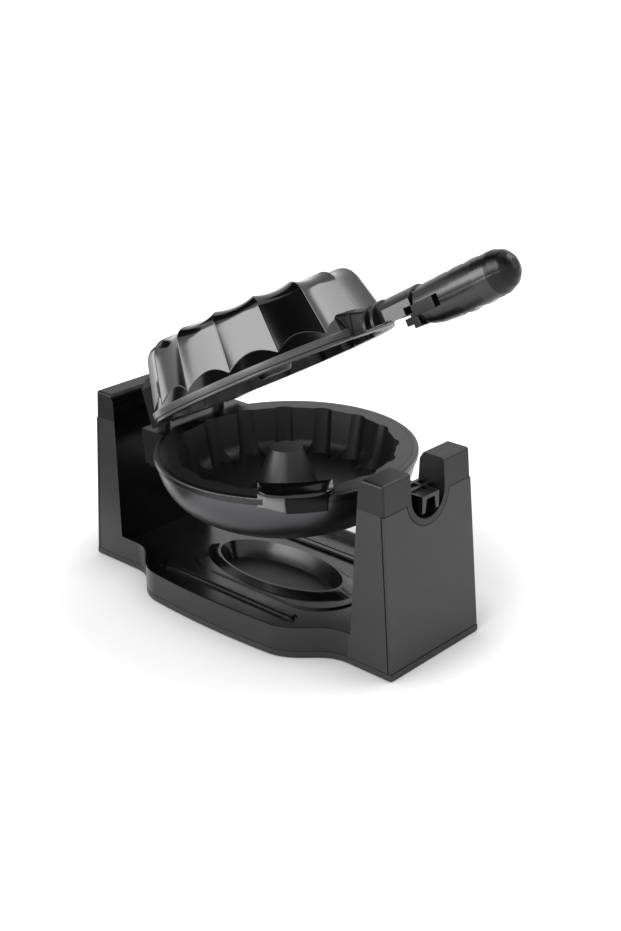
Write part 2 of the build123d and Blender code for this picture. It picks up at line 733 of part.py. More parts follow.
ring_disc = revolved([(0, ring_low), (RING_RADIUS, ring_low), (RING_RADIUS, ring_top), (0, ring_top)],
                     [(2, RING_ROUND), (1, RING_ROUND)])

# Cooker: the spun bowl
with BuildPart() as lower_housing:
    add(bowl_solid)
    add(bowl_hollow, mode=Mode.SUBTRACT)
save(lower_housing.part, "lower_housing")

# Way for the tongue of the plate catch
with BuildPart() as tongue_way:
    with BuildSketch(catch_plane(ring_top - TONGUE_THICK)):
        with Locations((RING_RADIUS, 0)):
            Rectangle(4 * RING_SHELF, TONGUE_WIDTH + 2 * KNUCKLE_GAP)
    extrude(amount=2 * CATCH_DEPTH)

# Black bezel on the bowl's rim
with BuildPart() as lower_rim_ring:
    add(ring_solid)
    add(tongue_way.part, mode=Mode.SUBTRACT)
save(lower_rim_ring.part, "lower_rim_ring")


def heater_ring():
    """Bent tube of a heater, open at one side, in the groove under a mould."""
    with BuildPart() as ring:
        with BuildSketch(Plane.XZ):
            with Locations((HEATER_RADIUS, -MOULD_DEPTH - MOULD_WALL - HEATER_TUBE)):
                RegularPolygon(HEATER_TUBE, HEATER_SIDES)
        revolve(axis=Axis.Z, revolution_arc=360 - HEATER_GAP)
    return ring.part.moved(Pos(BOWL_X, 0, 0) * Rot(0, 0, 90 + HEATER_GAP / 2))


def sector(inner, outer, middle, half_span, low, high):
    """Piece of a ring round the bowl's middle between two heights; angles in degrees."""
    reach = 2 * outer
    spread = reach * tan(radians(half_span))
    with BuildPart() as piece:
        with BuildSketch(Plane.XY.offset(low)):
            Circle(outer)
            Circle(inner, mode=Mode.SUBTRACT)
            with BuildLine():
                Polyline((0, 0), (reach, -spread), (reach, spread), close=True)
            make_face(mode=Mode.INTERSECT)
        extrude(amount=high - low)
    return piece.part.moved(Pos(BOWL_X, 0, 0) * Rot(0, 0, middle))


def flute_post():
    """Round post that hollows one flute of the mould's wall, cut flat at its floor."""
    lean = radians(MOULD_DRAFT)
    middle = BOWL_X + MOULD_RADIUS - MOULD_FLUTE_RADIUS + MOULD_FLUTE_DEPTH
    wall_plane = Plane(origin=(middle, 0, 0), x_dir=(0, 1, 0), z_dir=(-sin(lean), 0, -cos(lean)))
    with BuildPart() as post:
        with BuildSketch(wall_plane.offset(-BEYOND)):
            Circle(MOULD_FLUTE_RADIUS)
        extrude(amount=2 * MOULD_DEPTH)
        split(bisect_by=Plane.XY.offset(-MOULD_DEPTH), keep=Keep.TOP)
    return post.part


def mould_plate():
    """Cast plate with a ring mould, fluted wall and middle cone, hanging from z = 0."""
    lean = tan(radians(MOULD_DRAFT))
    skin = MOULD_WALL
    low = -MOULD_DEPTH - skin
    floor_radius = MOULD_RADIUS - MOULD_DEPTH * lean
    rim_radius = MOULD_RADIUS + MOULD_FLUTE_DEPTH + skin
    outside = [(0, 0), (FLANGE_OUT, 0), (FLANGE_OUT, -FLANGE_THICK),
               (rim_radius + FLANGE_THICK * lean, -FLANGE_THICK), (rim_radius + low * lean, low), (0, low)]
    cavity = [(CONE_FOOT, -MOULD_DEPTH), (floor_radius, -MOULD_DEPTH), (MOULD_RADIUS, 0),
              (MOULD_RADIUS, BEYOND), (0, BEYOND), (0, -CONE_DIP), (CONE_TOP, -CONE_DIP)]
    bed = [(HEATER_RADIUS - HEATER_BED, low), (HEATER_RADIUS + HEATER_BED, low),
           (HEATER_RADIUS + HEATER_BED - 1, low - HEATER_BED_HEIGHT),
           (HEATER_RADIUS - HEATER_BED + 1, low - HEATER_BED_HEIGHT)]
    under = [(0, low - BEYOND), (CONE_FOOT - skin, low - BEYOND), (CONE_FOOT - skin, -MOULD_DEPTH),
             (CONE_TOP - skin, -CONE_DIP - skin), (0, -CONE_DIP - skin)]
    with BuildPart() as plate:
        add(revolved(outside, [(4, MOULD_HEEL)]))
        add(revolved(bed))
        add(revolved(cavity, [(1, MOULD_ROUND), (0, CONE_ROUND)]), mode=Mode.SUBTRACT)
        add(revolved(under), mode=Mode.SUBTRACT)
        for number in range(MOULD_FLUTES):
            turn = Pos(BOWL_X, 0, 0) * Rot(0, 0, 360 / MOULD_FLUTES * number) * Pos(-BOWL_X, 0, 0)
            add(post.moved(turn), mode=Mode.SUBTRACT)
        add(heater_ring(), mode=Mode.SUBTRACT)
    return plate.part


post = flute_post()
mould = mould_plate()
tube = heater_ring()
lower_place = Pos(0, 0, ring_top)

# Lower plate, with a rebate in its flange for the tongue of the catch
with BuildPart() as lower_plate:
    add(mould.moved(lower_place))
    with BuildSketch(catch_plane(ring_top - TONGUE_THICK)):
        with Locations((FLANGE_OUT, 0)):
            Rectangle(2 * TONGUE_REACH, TONGUE_WIDTH + 2 * KNUCKLE_GAP)
    extrude(amount=BEYOND, mode=Mode.SUBTRACT)
save(lower_plate.part, "lower_plate")
save(tube.moved(lower_place), "lower_heater")

# Thermostat and thermal fuse against the underside of the lower plate
plate_under = ring_top - MOULD_DEPTH - MOULD_WALL
with BuildPart() as thermostat:
    for number, radius in enumerate((THERMOSTAT_RADIUS, THERMOSTAT_CAN)):
        with BuildSketch(Plane.XY.offset(plate_under - number * THERMOSTAT_STEP)):
            with Locations((BOWL_X, THERMOSTAT_Y)):
                Circle(radius)
        extrude(amount=-THERMOSTAT_STEP)
    with BuildSketch(Plane.XY.offset(plate_under - 2 * THERMOSTAT_STEP)):
        with Locations((BOWL_X, THERMOSTAT_Y)):
            with GridLocations(TAB_PITCH, 0, 2, 1):
                Rectangle(TAB_PITCH / 9, TAB_PITCH / 2)
    extrude(amount=-TAB_LENGTH)
save(thermostat.part, "thermostat")

with BuildPart() as thermal_fuse:
    with BuildSketch(Plane.XY.offset(plate_under)):
        with Locations((BOWL_X, -THERMOSTAT_Y)):
            Rectangle(FUSE_CLIP, FUSE_CLIP_WIDTH)
    extrude(amount=-FUSE_CLIP_THICK)
    with BuildSketch(Plane.YZ.offset(BOWL_X - FUSE_LENGTH / 2)):
        with Locations((-THERMOSTAT_Y, plate_under - FUSE_CLIP_THICK - FUSE_RADIUS * 0.7)):
            Circle(FUSE_RADIUS)
    extrude(amount=FUSE_LENGTH)
save(thermal_fuse.part, "thermal_fuse")


def across(points, half_width):
    """Block with a side profile of X and Z points, as wide each way of the middle."""
    with BuildPart() as block:
        with BuildSketch(Plane.XZ):
            with BuildLine():
                Polyline(*points, close=True)
            make_face()
        extrude(amount=half_width, both=True)
    return block.part


def barrel(radius, middle_y, width):
    """Cylinder round the hinge line."""
    with BuildPart() as piece:
        with BuildSketch(Plane.XZ.offset(-(middle_y - width / 2))):
            with Locations((HINGE_X, HINGE_Z)):
                Circle(radius)
        extrude(amount=-width)
    return piece.part


def hub_screw_spots():
    """Places of the screws through the plate of the turning shaft, pointing at the bowl."""
    return [Location((HUB_FACE, y, AXIS - drop), (0, 90, 0))
            for y in (-HUB_SCREW_Y, HUB_SCREW_Y) for drop in HUB_SCREW_DROPS]


bracket_low = AXIS - BRACKET_DEPTH
bracket_foot = BRACKET_LEFT + BRACKET_LEAN
bracket_wall_top = ring_top - BRACKET_WALL
lower_block = across([(BRACKET_LEFT, ring_top), (bracket_foot, bracket_low), (BRACKET_INSIDE, bracket_low),
                      (BRACKET_INSIDE, ring_top)], BRACKET_SIDE)
lower_core = across([(BRACKET_LEFT + BRACKET_WALL, bracket_wall_top),
                     (bracket_foot + BRACKET_WALL, bracket_low - 1),
                     (BRACKET_INSIDE + BEYOND, bracket_low - 1), (BRACKET_INSIDE + BEYOND, bracket_wall_top)],
                    BRACKET_SIDE - BRACKET_WALL)
hub_screw = screw(SCREW_RADIUS, SCREW_HEAD, HUB_SCREW_HEAD, HUB_SCREW_LENGTH)

# Bracket behind the bowl with the two ears that hold the hinge pin
with BuildPart() as lower_hinge_bracket:
    add(lower_block)
    chamfer(lower_hinge_bracket.edges().filter_by(Axis.X).group_by(Axis.Z)[0], BRACKET_CORNER)
    add(lower_core, mode=Mode.SUBTRACT)
    add(bowl_solid, mode=Mode.SUBTRACT)
    add(ring_disc, mode=Mode.SUBTRACT)
    for way in (-1, 1):
        add(barrel(EAR_RADIUS, way * EAR_Y, EAR_WIDTH))
        with BuildSketch(Plane.XY.offset(bracket_wall_top)):
            with Locations((HINGE_X, way * EAR_Y)):
                Rectangle(2 * EAR_RADIUS, EAR_WIDTH)
        extrude(amount=HINGE_Z - bracket_wall_top)
    add(barrel(PIN_RADIUS, 0, 4 * PIN_HALF), mode=Mode.SUBTRACT)
    with Locations(*hub_screw_spots()):
        add(hub_screw, mode=Mode.SUBTRACT)
save(lower_hinge_bracket.part, "lower_hinge_bracket")

with BuildPart() as hinge_pin:
    add(barrel(PIN_RADIUS, 0, 2 * PIN_HALF))
    chamfer(hinge_pin.edges().filter_by(GeomType.CIRCLE), PIN_CHAMFER)
save(hinge_pin.part, "hinge_pin")

# Hollow shaft with a plate that is screwed to the bracket; a clip holds it in its bearing
clip_start = -(wall_back + BEARING_TAIL + CLIP_GAP + CLIP_WIDTH)
thrust_start = -(wall_face - THRUST_GAP)
hub_back = BRACKET_LEFT + BEYOND
with BuildPart() as trunnion_shaft:
    add(across([(HUB_FACE, ring_top), (HUB_FACE, ring_top - HUB_DROP), (hub_back, ring_top - HUB_DROP),
                (hub_back, ring_top)], HUB_HALF))
    add(lower_block, mode=Mode.SUBTRACT)
    add(axis_disc(SHAFT_RADIUS, clip_start - SHAFT_PAST_CLIP, HUB_FACE))
    add(axis_disc(THRUST_RADIUS, thrust_start, thrust_start + THRUST_WIDTH))
    with BuildSketch(on_axis(clip_start)):
        Circle(SHAFT_RADIUS + BEYOND)
        Circle(SHAFT_RADIUS - CLIP_GROOVE, mode=Mode.SUBTRACT)
    extrude(amount=CLIP_WIDTH, mode=Mode.SUBTRACT)
    with Locations(*hub_screw_spots()):
        add(hub_screw, mode=Mode.SUBTRACT)
    add(axis_disc(SHAFT_BORE, clip_start - SHAFT_PAST_CLIP - 1, hub_back), mode=Mode.SUBTRACT)
save(trunnion_shaft.part, "trunnion_shaft")

with BuildPart() as trunnion_clip:
    with BuildSketch(on_axis(clip_start)):
        Circle(CLIP_RADIUS)
        Circle(SHAFT_RADIUS - CLIP_GROOVE, mode=Mode.SUBTRACT)
        with Locations((0, -CLIP_RADIUS)):
            Rectangle(2 * CLIP_MOUTH, 2 * CLIP_RADIUS, mode=Mode.SUBTRACT)
    extrude(amount=CLIP_WIDTH)
save(trunnion_clip.part, "trunnion_clip")

with BuildPart() as hub_screws:
    with Locations(*hub_screw_spots()):
        add(hub_screw)
save(hub_screws.part, "hub_screws")

# Half shaft on the handle side: a ribbed arm with half discs that turn in the saddle
arm_low = AXIS - HALF_DROP
half_start = BOWL_X + BOWL_RADIUS - 2 * BEYOND
half_plate = HALF_END - HALF_END_PLATE
well_start = BOWL_X + RING_RADIUS + HALF_END_PLATE
with BuildPart() as lower_half_shaft:
    add(across([(half_start, ring_top), (half_start, arm_low), (HALF_END, arm_low), (HALF_END, ring_top)],
               HALF_SIDE))
    add(across([(half_start - 1, ring_top - HALF_TOP), (half_start - 1, arm_low - 1),
                (half_plate, arm_low - 1), (half_plate, ring_top - HALF_TOP)], HALF_SIDE - WALL),
        mode=Mode.SUBTRACT)
    add(across([(well_start, ring_top + 1), (well_start, ring_top - HALF_WELL),
                (half_plate, ring_top - HALF_WELL), (half_plate, ring_top + 1)], HALF_SIDE - HALF_WELL),
        mode=Mode.SUBTRACT)
    for start in half_disc_starts:
        with BuildSketch(on_axis(start)):
            Circle(FLANGE_RADIUS)
            with Locations((0, FLANGE_RADIUS - PARTING)):
                Rectangle(3 * FLANGE_RADIUS, 2 * FLANGE_RADIUS, mode=Mode.SUBTRACT)
        extrude(amount=FLANGE_WIDTH)
    with BuildSketch(on_axis(half_plate - 1)):
        with BuildLine():
            Polyline((-BOLT_WAY_HALF - BOLT_WAY_SPLAY, -HALF_DROP - 1), (-BOLT_WAY_HALF, -BOLT_WAY_TOP),
                     (BOLT_WAY_HALF, -BOLT_WAY_TOP), (BOLT_WAY_HALF + BOLT_WAY_SPLAY, -HALF_DROP - 1),
                     close=True)
        make_face()
    extrude(amount=HALF_END_PLATE + 2, mode=Mode.SUBTRACT)
    add(bowl_solid, mode=Mode.SUBTRACT)
    add(ring_disc, mode=Mode.SUBTRACT)
save(lower_half_shaft.part, "lower_half_shaft")

# Frame under the front rim that guides the plate catch
catch_low = AXIS - CATCH_DEPTH
shelf_top = catch_low + CATCH_FLOOR
scoop_turn = CATCH_TURN + SCOOP_TURN
with BuildPart() as latch_housing:
    add(sector(HOUSING_IN, HOUSING_OUT, CATCH_TURN + CATCH_BLOCK_TURN, CATCH_BLOCK_HALF, catch_low, ring_top))
    add(sector(HOUSING_IN, HOUSING_OUT, scoop_turn, SCOOP_HALF, catch_low, shelf_top))
    add(sector(HOUSING_IN, RING_RADIUS + SEAM_GAP, scoop_turn, SCOOP_HALF, catch_low, ring_low))
    add(bowl_solid, mode=Mode.SUBTRACT)
    add(ring_disc, mode=Mode.SUBTRACT)
    add(tongue_way.part, mode=Mode.SUBTRACT)
save(latch_housing.part, "latch_housing")

# Catch that holds the lower plate: crescent on top, finger scoop below, tongue inside
crescent_low = AXIS + PARTING
tongue_low = ring_top - TONGUE_THICK + TONGUE_PLAY
with BuildPart() as plate_latch:
    with BuildSketch(catch_plane(crescent_low)):
        with BuildLine():
            turn = radians(CATCH_SPAN)
            tip = (CRESCENT_IN * cos(turn), CRESCENT_IN * sin(turn))
            back = ThreePointArc((tip[0], -tip[1]), (CRESCENT_IN, 0), tip)
            far_tip = (tip[0] + 2, tip[1] - 0.5)
            Line(back @ 1, far_tip)
            front = ThreePointArc(far_tip, (CRESCENT_OUT, 0), (far_tip[0], -far_tip[1]))
            Line(front @ 1, back @ 0)
        make_face()
    extrude(amount=CRESCENT_HEIGHT)
    rim = plate_latch.edges().group_by(Axis.Z)[-1].sort_by(lambda e: -e.center().X + e.center().Y)[0]
    fillet(rim, CRESCENT_ROUND)
    add(sector(WEB_IN, WEB_OUT, scoop_turn, WEB_HALF, shelf_top + PARTING, crescent_low + 1))
    with BuildSketch(catch_plane(tongue_low)):
        with Locations(((HOUSING_IN + WEB_IN + 1) / 2, 0)):
            Rectangle(WEB_IN + 1 - HOUSING_IN, TONGUE_WIDTH)
    extrude(amount=TONGUE_THICK - TONGUE_PLAY)
    with BuildSketch(catch_plane(tongue_low)):
        with Locations((BOWL_RADIUS + TONGUE_PLAY + RING_LIP, 0)):
            Rectangle(BEYOND, TONGUE_WIDTH)
    extrude(amount=crescent_low + 1 - tongue_low)
    with BuildSketch(catch_plane(AXIS - SCOOP_DEPTH / 2)):
        with Locations((WEB_OUT * cos(radians(SCOOP_TURN)) + SCOOP_REACH, WEB_OUT * sin(radians(SCOOP_TURN)))):
            Circle(SCOOP_RADIUS)
    extrude(amount=SCOOP_DEPTH, both=True, taper=SCOOP_DRAFT, mode=Mode.SUBTRACT)
save(plate_latch.part, "plate_latch")

# Lid, drawn shut: heights are given from the turning axis
crown_edge = DOME_HEIGHT - DOME_CROWN
edge_radius = DOME_FOOT - (crown_edge - LID_RING_HEIGHT) * tan(radians(DOME_DRAFT))
crown_lean = degrees(atan2(DOME_CROWN, edge_radius))


def polar(length, turn):
    """Step outwards from the middle and upwards, at an angle above the level."""
    return Vector(length * cos(radians(turn)), 0, length * sin(radians(turn)))


def flute_bar():
    """Round bar that hollows one flute: up the wall, over the shoulder, then fading out."""
    reach = FLUTE_RADIUS - FLUTE_DEPTH
    wall_down = polar(1, DOME_DRAFT - 90)
    crown_in = polar(1, 180 - crown_lean)
    half_angle = radians(90 + DOME_DRAFT + crown_lean) / 2
    edge = Vector(edge_radius, 0, AXIS + crown_edge)
    middle = edge + (wall_down + crown_in).normalized() * (DOME_SHOULDER / sin(half_angle))
    bend = DOME_SHOULDER + reach
    end_turn = 90 - crown_lean - FLUTE_FADE
    first = middle + polar(bend, DOME_DRAFT)
    halfway = middle + polar(bend, (DOME_DRAFT + end_turn) / 2)
    last = middle + polar(bend, end_turn)
    with BuildPart() as bar:
        with BuildLine() as rail:
            Line(first + wall_down * DOME_HEIGHT, first)
            ThreePointArc(first, halfway, last)
            Line(last, last + polar(FLUTE_RUN, end_turn + 90))
        with BuildSketch(Plane(origin=rail.line @ 0, x_dir=(0, 1, 0), z_dir=rail.line % 0)):
            Circle(FLUTE_RADIUS)
        sweep()
    return bar.part


ring_bottom = AXIS + PARTING
dome_low = AXIS + LID_RING_HEIGHT
bar = flute_bar()
with BuildPart() as dome_outer:
    add(revolved([(0, dome_low), (DOME_FOOT, dome_low), (edge_radius, AXIS + crown_edge),
                  (0, AXIS + DOME_HEIGHT)], [(2, DOME_SHOULDER)]))
    for number in range(FLUTES):
        turn = FLUTE_TURN + 360 / FLUTES * (number + 0.5)
        add(bar.moved(Pos(BOWL_X, 0, 0) * Rot(0, 0, turn)), mode=Mode.SUBTRACT)
    add(revolved([(0, dome_low), (SKIRT_FOOT, dome_low),
                  (SKIRT_FOOT - SKIRT_HEIGHT * SKIRT_SLOPE, dome_low + SKIRT_HEIGHT),
                  (0, dome_low + SKIRT_HEIGHT)]))

lid_in = DOME_FOOT - FLUTE_DEPTH - DOME_WALL
lid_in_top = crown_edge - FLUTE_DEPTH - DOME_WALL
lid_in_edge = lid_in - (lid_in_top - LID_RING_HEIGHT) * tan(radians(DOME_DRAFT))
with BuildPart() as lid_housing:
    add(dome_outer.part)
    add(revolved([(0, dome_low - 1), (lid_in, dome_low - 1), (lid_in_edge, AXIS + lid_in_top),
                  (lid_in_edge - FADE_LENGTH, AXIS + crown_edge - DOME_WALL),
                  (0, AXIS + DOME_HEIGHT - DOME_WALL)], [(2, DOME_SHOULDER - FLUTE_DEPTH - DOME_WALL)]),
        mode=Mode.SUBTRACT)
save(lid_housing.part, "lid_housing", swing=True)


def plate_screw_spots():
    """Places of the screws that hold the upper plate, with their threads upwards."""
    middle = Location((BOWL_X, 0, ring_bottom + PLATE_SEAT))
    return [middle * Rot(0, 0, turn) * Pos(PLATE_SCREWS_AT, 0, 0) for turn in (45, 135, 225, 315)]


plate_screw = screw(PLATE_SCREW_RADIUS, PLATE_SCREW_HEAD, PLATE_SEAT, PLATE_SCREW)
plate_top = ring_bottom + FLANGE_THICK

# Rim of the lid, with a lower bead, a fine groove and an upright band
with BuildPart() as lid_rim_ring:
    add(revolved([(lid_in, plate_top), (UPPER_FLANGE + FLANGE_GAP, plate_top),
                  (UPPER_FLANGE + FLANGE_GAP, ring_bottom), (LID_RADIUS - LID_GROOVE, ring_bottom),
                  (LID_RADIUS - LID_GROOVE, AXIS + LID_BEAD), (LID_RADIUS - LID_BAND_INSET, AXIS + LID_BEAD),
                  (LID_RADIUS - LID_BAND_INSET, AXIS + LID_BAND), (LID_RADIUS, AXIS + LID_BAND),
                  (LID_RADIUS, dome_low), (lid_in, dome_low)]))
    with Locations(*plate_screw_spots()):
        add(plate_screw, mode=Mode.SUBTRACT)
save(lid_rim_ring.part, "lid_rim_ring", swing=True)

# Upper plate: the same mould turned over, with a narrower flange held by four screws
upper_place = Pos(0, 0, ring_bottom) * Rot(180, 0, 0)
with BuildPart() as upper_plate:
    add(mould.moved(upper_place))
    with BuildSketch(Plane.XY.offset(ring_bottom - 1)):
        with Locations((BOWL_X, 0)):
            Circle(FLANGE_OUT + BEYOND)
            Circle(UPPER_FLANGE, mode=Mode.SUBTRACT)
    extrude(amount=FLANGE_THICK + 2, mode=Mode.SUBTRACT)
    with Locations(*plate_screw_spots()):
        add(plate_screw, mode=Mode.SUBTRACT)
save(upper_plate.part, "upper_plate", swing=True)
save(tube.moved(upper_place), "upper_heater", swing=True)

with BuildPart() as upper_plate_screws:
    with Locations(*plate_screw_spots()):
        add(plate_screw)
save(upper_plate_screws.part, "upper_plate_screws", swing=True)

# Bracket on the back of the lid with the barrels that turn on the hinge pin
lid_ring_disc = revolved([(0, ring_bottom), (LID_RADIUS, ring_bottom), (LID_RADIUS, dome_low), (0, dome_low)])
upper_top = AXIS + UPPER_BRACKET
upper_foot = HINGE_X + KNUCKLE_GAP
upper_head = upper_foot + UPPER_BRACKET_LEAN
upper_core = across(
    [(upper_foot + BRACKET_WALL, ring_bottom - 1), (upper_head + BRACKET_WALL, upper_top - BRACKET_WALL),
     (BRACKET_INSIDE + BEYOND, upper_top - BRACKET_WALL), (BRACKET_INSIDE + BEYOND, ring_bottom - 1)],
    BRACKET_SIDE - 2 * BRACKET_WALL,
)
with BuildPart() as upper_hinge_bracket:
    add(across([(upper_foot, ring_bottom), (upper_head, upper_top), (BRACKET_INSIDE, upper_top),
                (BRACKET_INSIDE, ring_bottom)], BRACKET_SIDE))
    chamfer(upper_hinge_bracket.edges().filter_by(Axis.X).group_by(Axis.Z)[-1], UPPER_BRACKET_CORNER)
    add(upper_core, mode=Mode.SUBTRACT)
    add(dome_outer.part, mode=Mode.SUBTRACT)
    add(lid_ring_disc, mode=Mode.SUBTRACT)
    # Room for the cooker's ears, which reach up beside the barrels
    ear_room = 2 * (EAR_RADIUS + EAR_CLEAR)
    with BuildSketch(Plane.XY.offset(ring_bottom - 1)):
        with Locations((HINGE_X, -EAR_Y), (HINGE_X, EAR_Y)):
            Rectangle(ear_room + 2 * KNUCKLE_GAP, EAR_WIDTH + 4 * KNUCKLE_GAP)
    extrude(amount=HINGE_Z + ear_room / 2 - ring_bottom + 1, mode=Mode.SUBTRACT)
    for way in (-1, 1):
        for step in (-1, 1):
            offset = (EAR_WIDTH + KNUCKLE_WIDTH) / 2 + KNUCKLE_GAP
            add(barrel(KNUCKLE_RADIUS, way * EAR_Y + step * offset, KNUCKLE_WIDTH))
    add(barrel(PIN_RADIUS + RUNNING, 0, 4 * PIN_HALF), mode=Mode.SUBTRACT)
save(upper_hinge_bracket.part, "upper_hinge_bracket", swing=True)


def neck_screw_spots():
    """Places of the screws through the end of the arm into the neck, pointing outwards."""
    return [Location((NECK_START - WALL, y, AXIS + NECK_SCREW_Z), (0, 90, 0))
            for y in (-NECK_SCREW_Y, NECK_SCREW_Y)]


neck_screw = screw(NECK_SCREW_RADIUS, NECK_SCREW_HEAD, NECK_SCREW_HEAD_HEIGHT, NECK_SCREW_LENGTH)
arm_top = AXIS + ARM_TOP
arm_high = AXIS + ARM_HIGH

# Arm of the lid on the handle side, with the upper half discs of the turning shaft
with BuildPart() as handle_bracket:
    add(across([(ARM_ROOT, AXIS + ARM_LOW), (ARM_BEND, AXIS + ARM_LOW), (NECK_START, ring_bottom),
                (NECK_START, arm_top), (ARM_LEVEL, arm_top), (ARM_BEND, arm_high), (ARM_ROOT, arm_high)],
               ARM_SIDE))
    upper_edges = handle_bracket.edges().filter_by(lambda e: abs(abs(e.center().Y) - ARM_SIDE) < 0.01
                                                   and e.center().X > ARM_ROOT + 1
                                                   and e.center().Z > AXIS + ARM_TOP - 1)
    chamfer(upper_edges, ARM_CHAMFER)
    # V-shaped brace on each side
    for way in (-1, 1):
        with BuildSketch(Plane.XZ.offset(way * (ARM_SIDE + BRACE_PROUD))):
            with BuildLine():
                Polyline(*[(ARM_ROOT + BRACE_FROM + x, AXIS + z) for x, z in BRACE_POINTS], close=True)
            make_face()
        extrude(amount=-way * 2)
    for start in half_disc_starts:
        with BuildSketch(on_axis(start)):
            Circle(FLANGE_RADIUS)
            with Locations((0, PARTING - FLANGE_RADIUS)):
                Rectangle(3 * FLANGE_RADIUS, 2 * FLANGE_RADIUS, mode=Mode.SUBTRACT)
        extrude(amount=FLANGE_WIDTH)
    add(across([(ARM_ROOT - BEYOND, AXIS - BEYOND), (NECK_START - WALL, AXIS - BEYOND),
                (NECK_START - WALL, arm_top - WALL), (ARM_LEVEL, arm_top - WALL),
                (ARM_BEND, arm_high - WALL), (ARM_ROOT - BEYOND, arm_high - WALL)], ARM_SIDE - WALL),
        mode=Mode.SUBTRACT)
    add(dome_outer.part, mode=Mode.SUBTRACT)
    add(lid_ring_disc, mode=Mode.SUBTRACT)
    with Locations(*neck_screw_spots()):
        add(neck_screw, mode=Mode.SUBTRACT)
save(handle_bracket.part, "handle_bracket", swing=True)

spigot_low = AXIS + SPIGOT_LOW
spigot_top = AXIS + SPIGOT_TOP
spigot_end = NECK_END + SPIGOT_LENGTH
spigot = across([(NECK_END - 1, spigot_low), (NECK_END - 1, spigot_top), (spigot_end, spigot_top),
                 (spigot_end, spigot_low)], SPIGOT_SIDE)
neck_cut_low = AXIS - BEYOND
slider_way = TONGUE_START - SLIDE_TRAVEL - SLIDER_CLEAR
half_way = HALF_END + SLIDER_CLEAR
pocket_start = HALF_END + NECK_POCKET[0]
pocket_end = HALF_END + NECK_POCKET[1]

# Neck of the handle, open below for the end of the half shaft and for the lock slider
with BuildPart() as handle_neck:
    with BuildSketch(on_axis(NECK_START)):
        with BuildLine():
            Polyline((NECK_SIDE, NECK_SHOULDER), (NECK_SIDE, -NECK_DROP), (-NECK_SIDE, -NECK_DROP),
                     (-NECK_SIDE, NECK_SHOULDER))
            ThreePointArc((-NECK_SIDE, NECK_SHOULDER), (0, NECK_TOP), (NECK_SIDE, NECK_SHOULDER))
        make_face()
    extrude(amount=NECK_LENGTH)
    add(across([(NECK_START - 1, ring_bottom), (half_way, ring_bottom), (half_way, neck_cut_low),
                (NECK_START - 1, neck_cut_low)], 2 * NECK_SIDE), mode=Mode.SUBTRACT)
    add(across([(slider_way, AXIS + SLOT_UP), (NECK_END + 1, AXIS + SLOT_UP), (NECK_END + 1, neck_cut_low),
                (slider_way, neck_cut_low)], 2 * NECK_SIDE), mode=Mode.SUBTRACT)
    add(across([(pocket_start, neck_cut_low), (pocket_start, AXIS + NECK_POCKET_TOP),
                (pocket_end, AXIS + NECK_POCKET_TOP), (pocket_end, neck_cut_low)],
               NECK_SIDE - 1.5 * WALL), mode=Mode.SUBTRACT)
    add(spigot)
    with Locations(*neck_screw_spots()):
        add(neck_screw, mode=Mode.SUBTRACT)
save(handle_neck.part, "handle_neck", swing=True)

with BuildPart() as neck_screws:
    with Locations(*neck_screw_spots()):
        add(neck_screw)
save(neck_screws.part, "neck_screws", swing=True)

tongue_end = TONGUE_START + TONGUE_LENGTH
foot_start = TONGUE_START - SLIDER_FOOT
foot_end = GRIP_START - GRIP_GAP + TONGUE_PLAY
bolt_start = HALF_END + BOLT_GAP

# Lock slider: a tongue in the grip's slot and a bolt that slides inwards under the shaft
with BuildPart() as lock_slider:
    add(across([(TONGUE_START, AXIS - TONGUE_DOWN), (tongue_end, AXIS - TONGUE_DOWN),
                (tongue_end, AXIS + TONGUE_UP), (TONGUE_START, AXIS + TONGUE_UP)], NECK_SIDE))
    fillet(lock_slider.edges().filter_by(Axis.Z), TONGUE_ROUND)
    add(across([(foot_start, AXIS - SLIDER_FOOT_DOWN), (foot_end, AXIS - SLIDER_FOOT_DOWN),
                (foot_end, AXIS - TONGUE_DOWN / 2), (foot_start, AXIS - TONGUE_DOWN / 2)],
               NECK_SIDE - 2 * TONGUE_ROUND))
    add(across([(bolt_start, AXIS - BOLT_LOW), (bolt_start, AXIS - BOLT_HIGH),
                (foot_start + 1, AXIS - BOLT_HIGH), (foot_start + 1, AXIS - BOLT_LOW)], BOLT_HALF))
save(lock_slider.part, "lock_slider", swing=True)


def grip_section(x, side, top, bottom):
    """Egg-shaped section of the grip at a distance along the axis."""
    with BuildSketch(on_axis(x)) as face:
        with BuildLine():
            for way, high in ((1, top), (-1, bottom)):
                bend = way * high * 0.7 - 0.3
                ThreePointArc((side, -1), (side * 0.73, bend), (0, way * high))
                ThreePointArc((0, way * high), (-side * 0.73, bend), (-side, -1))
        make_face()
    return face.sketch


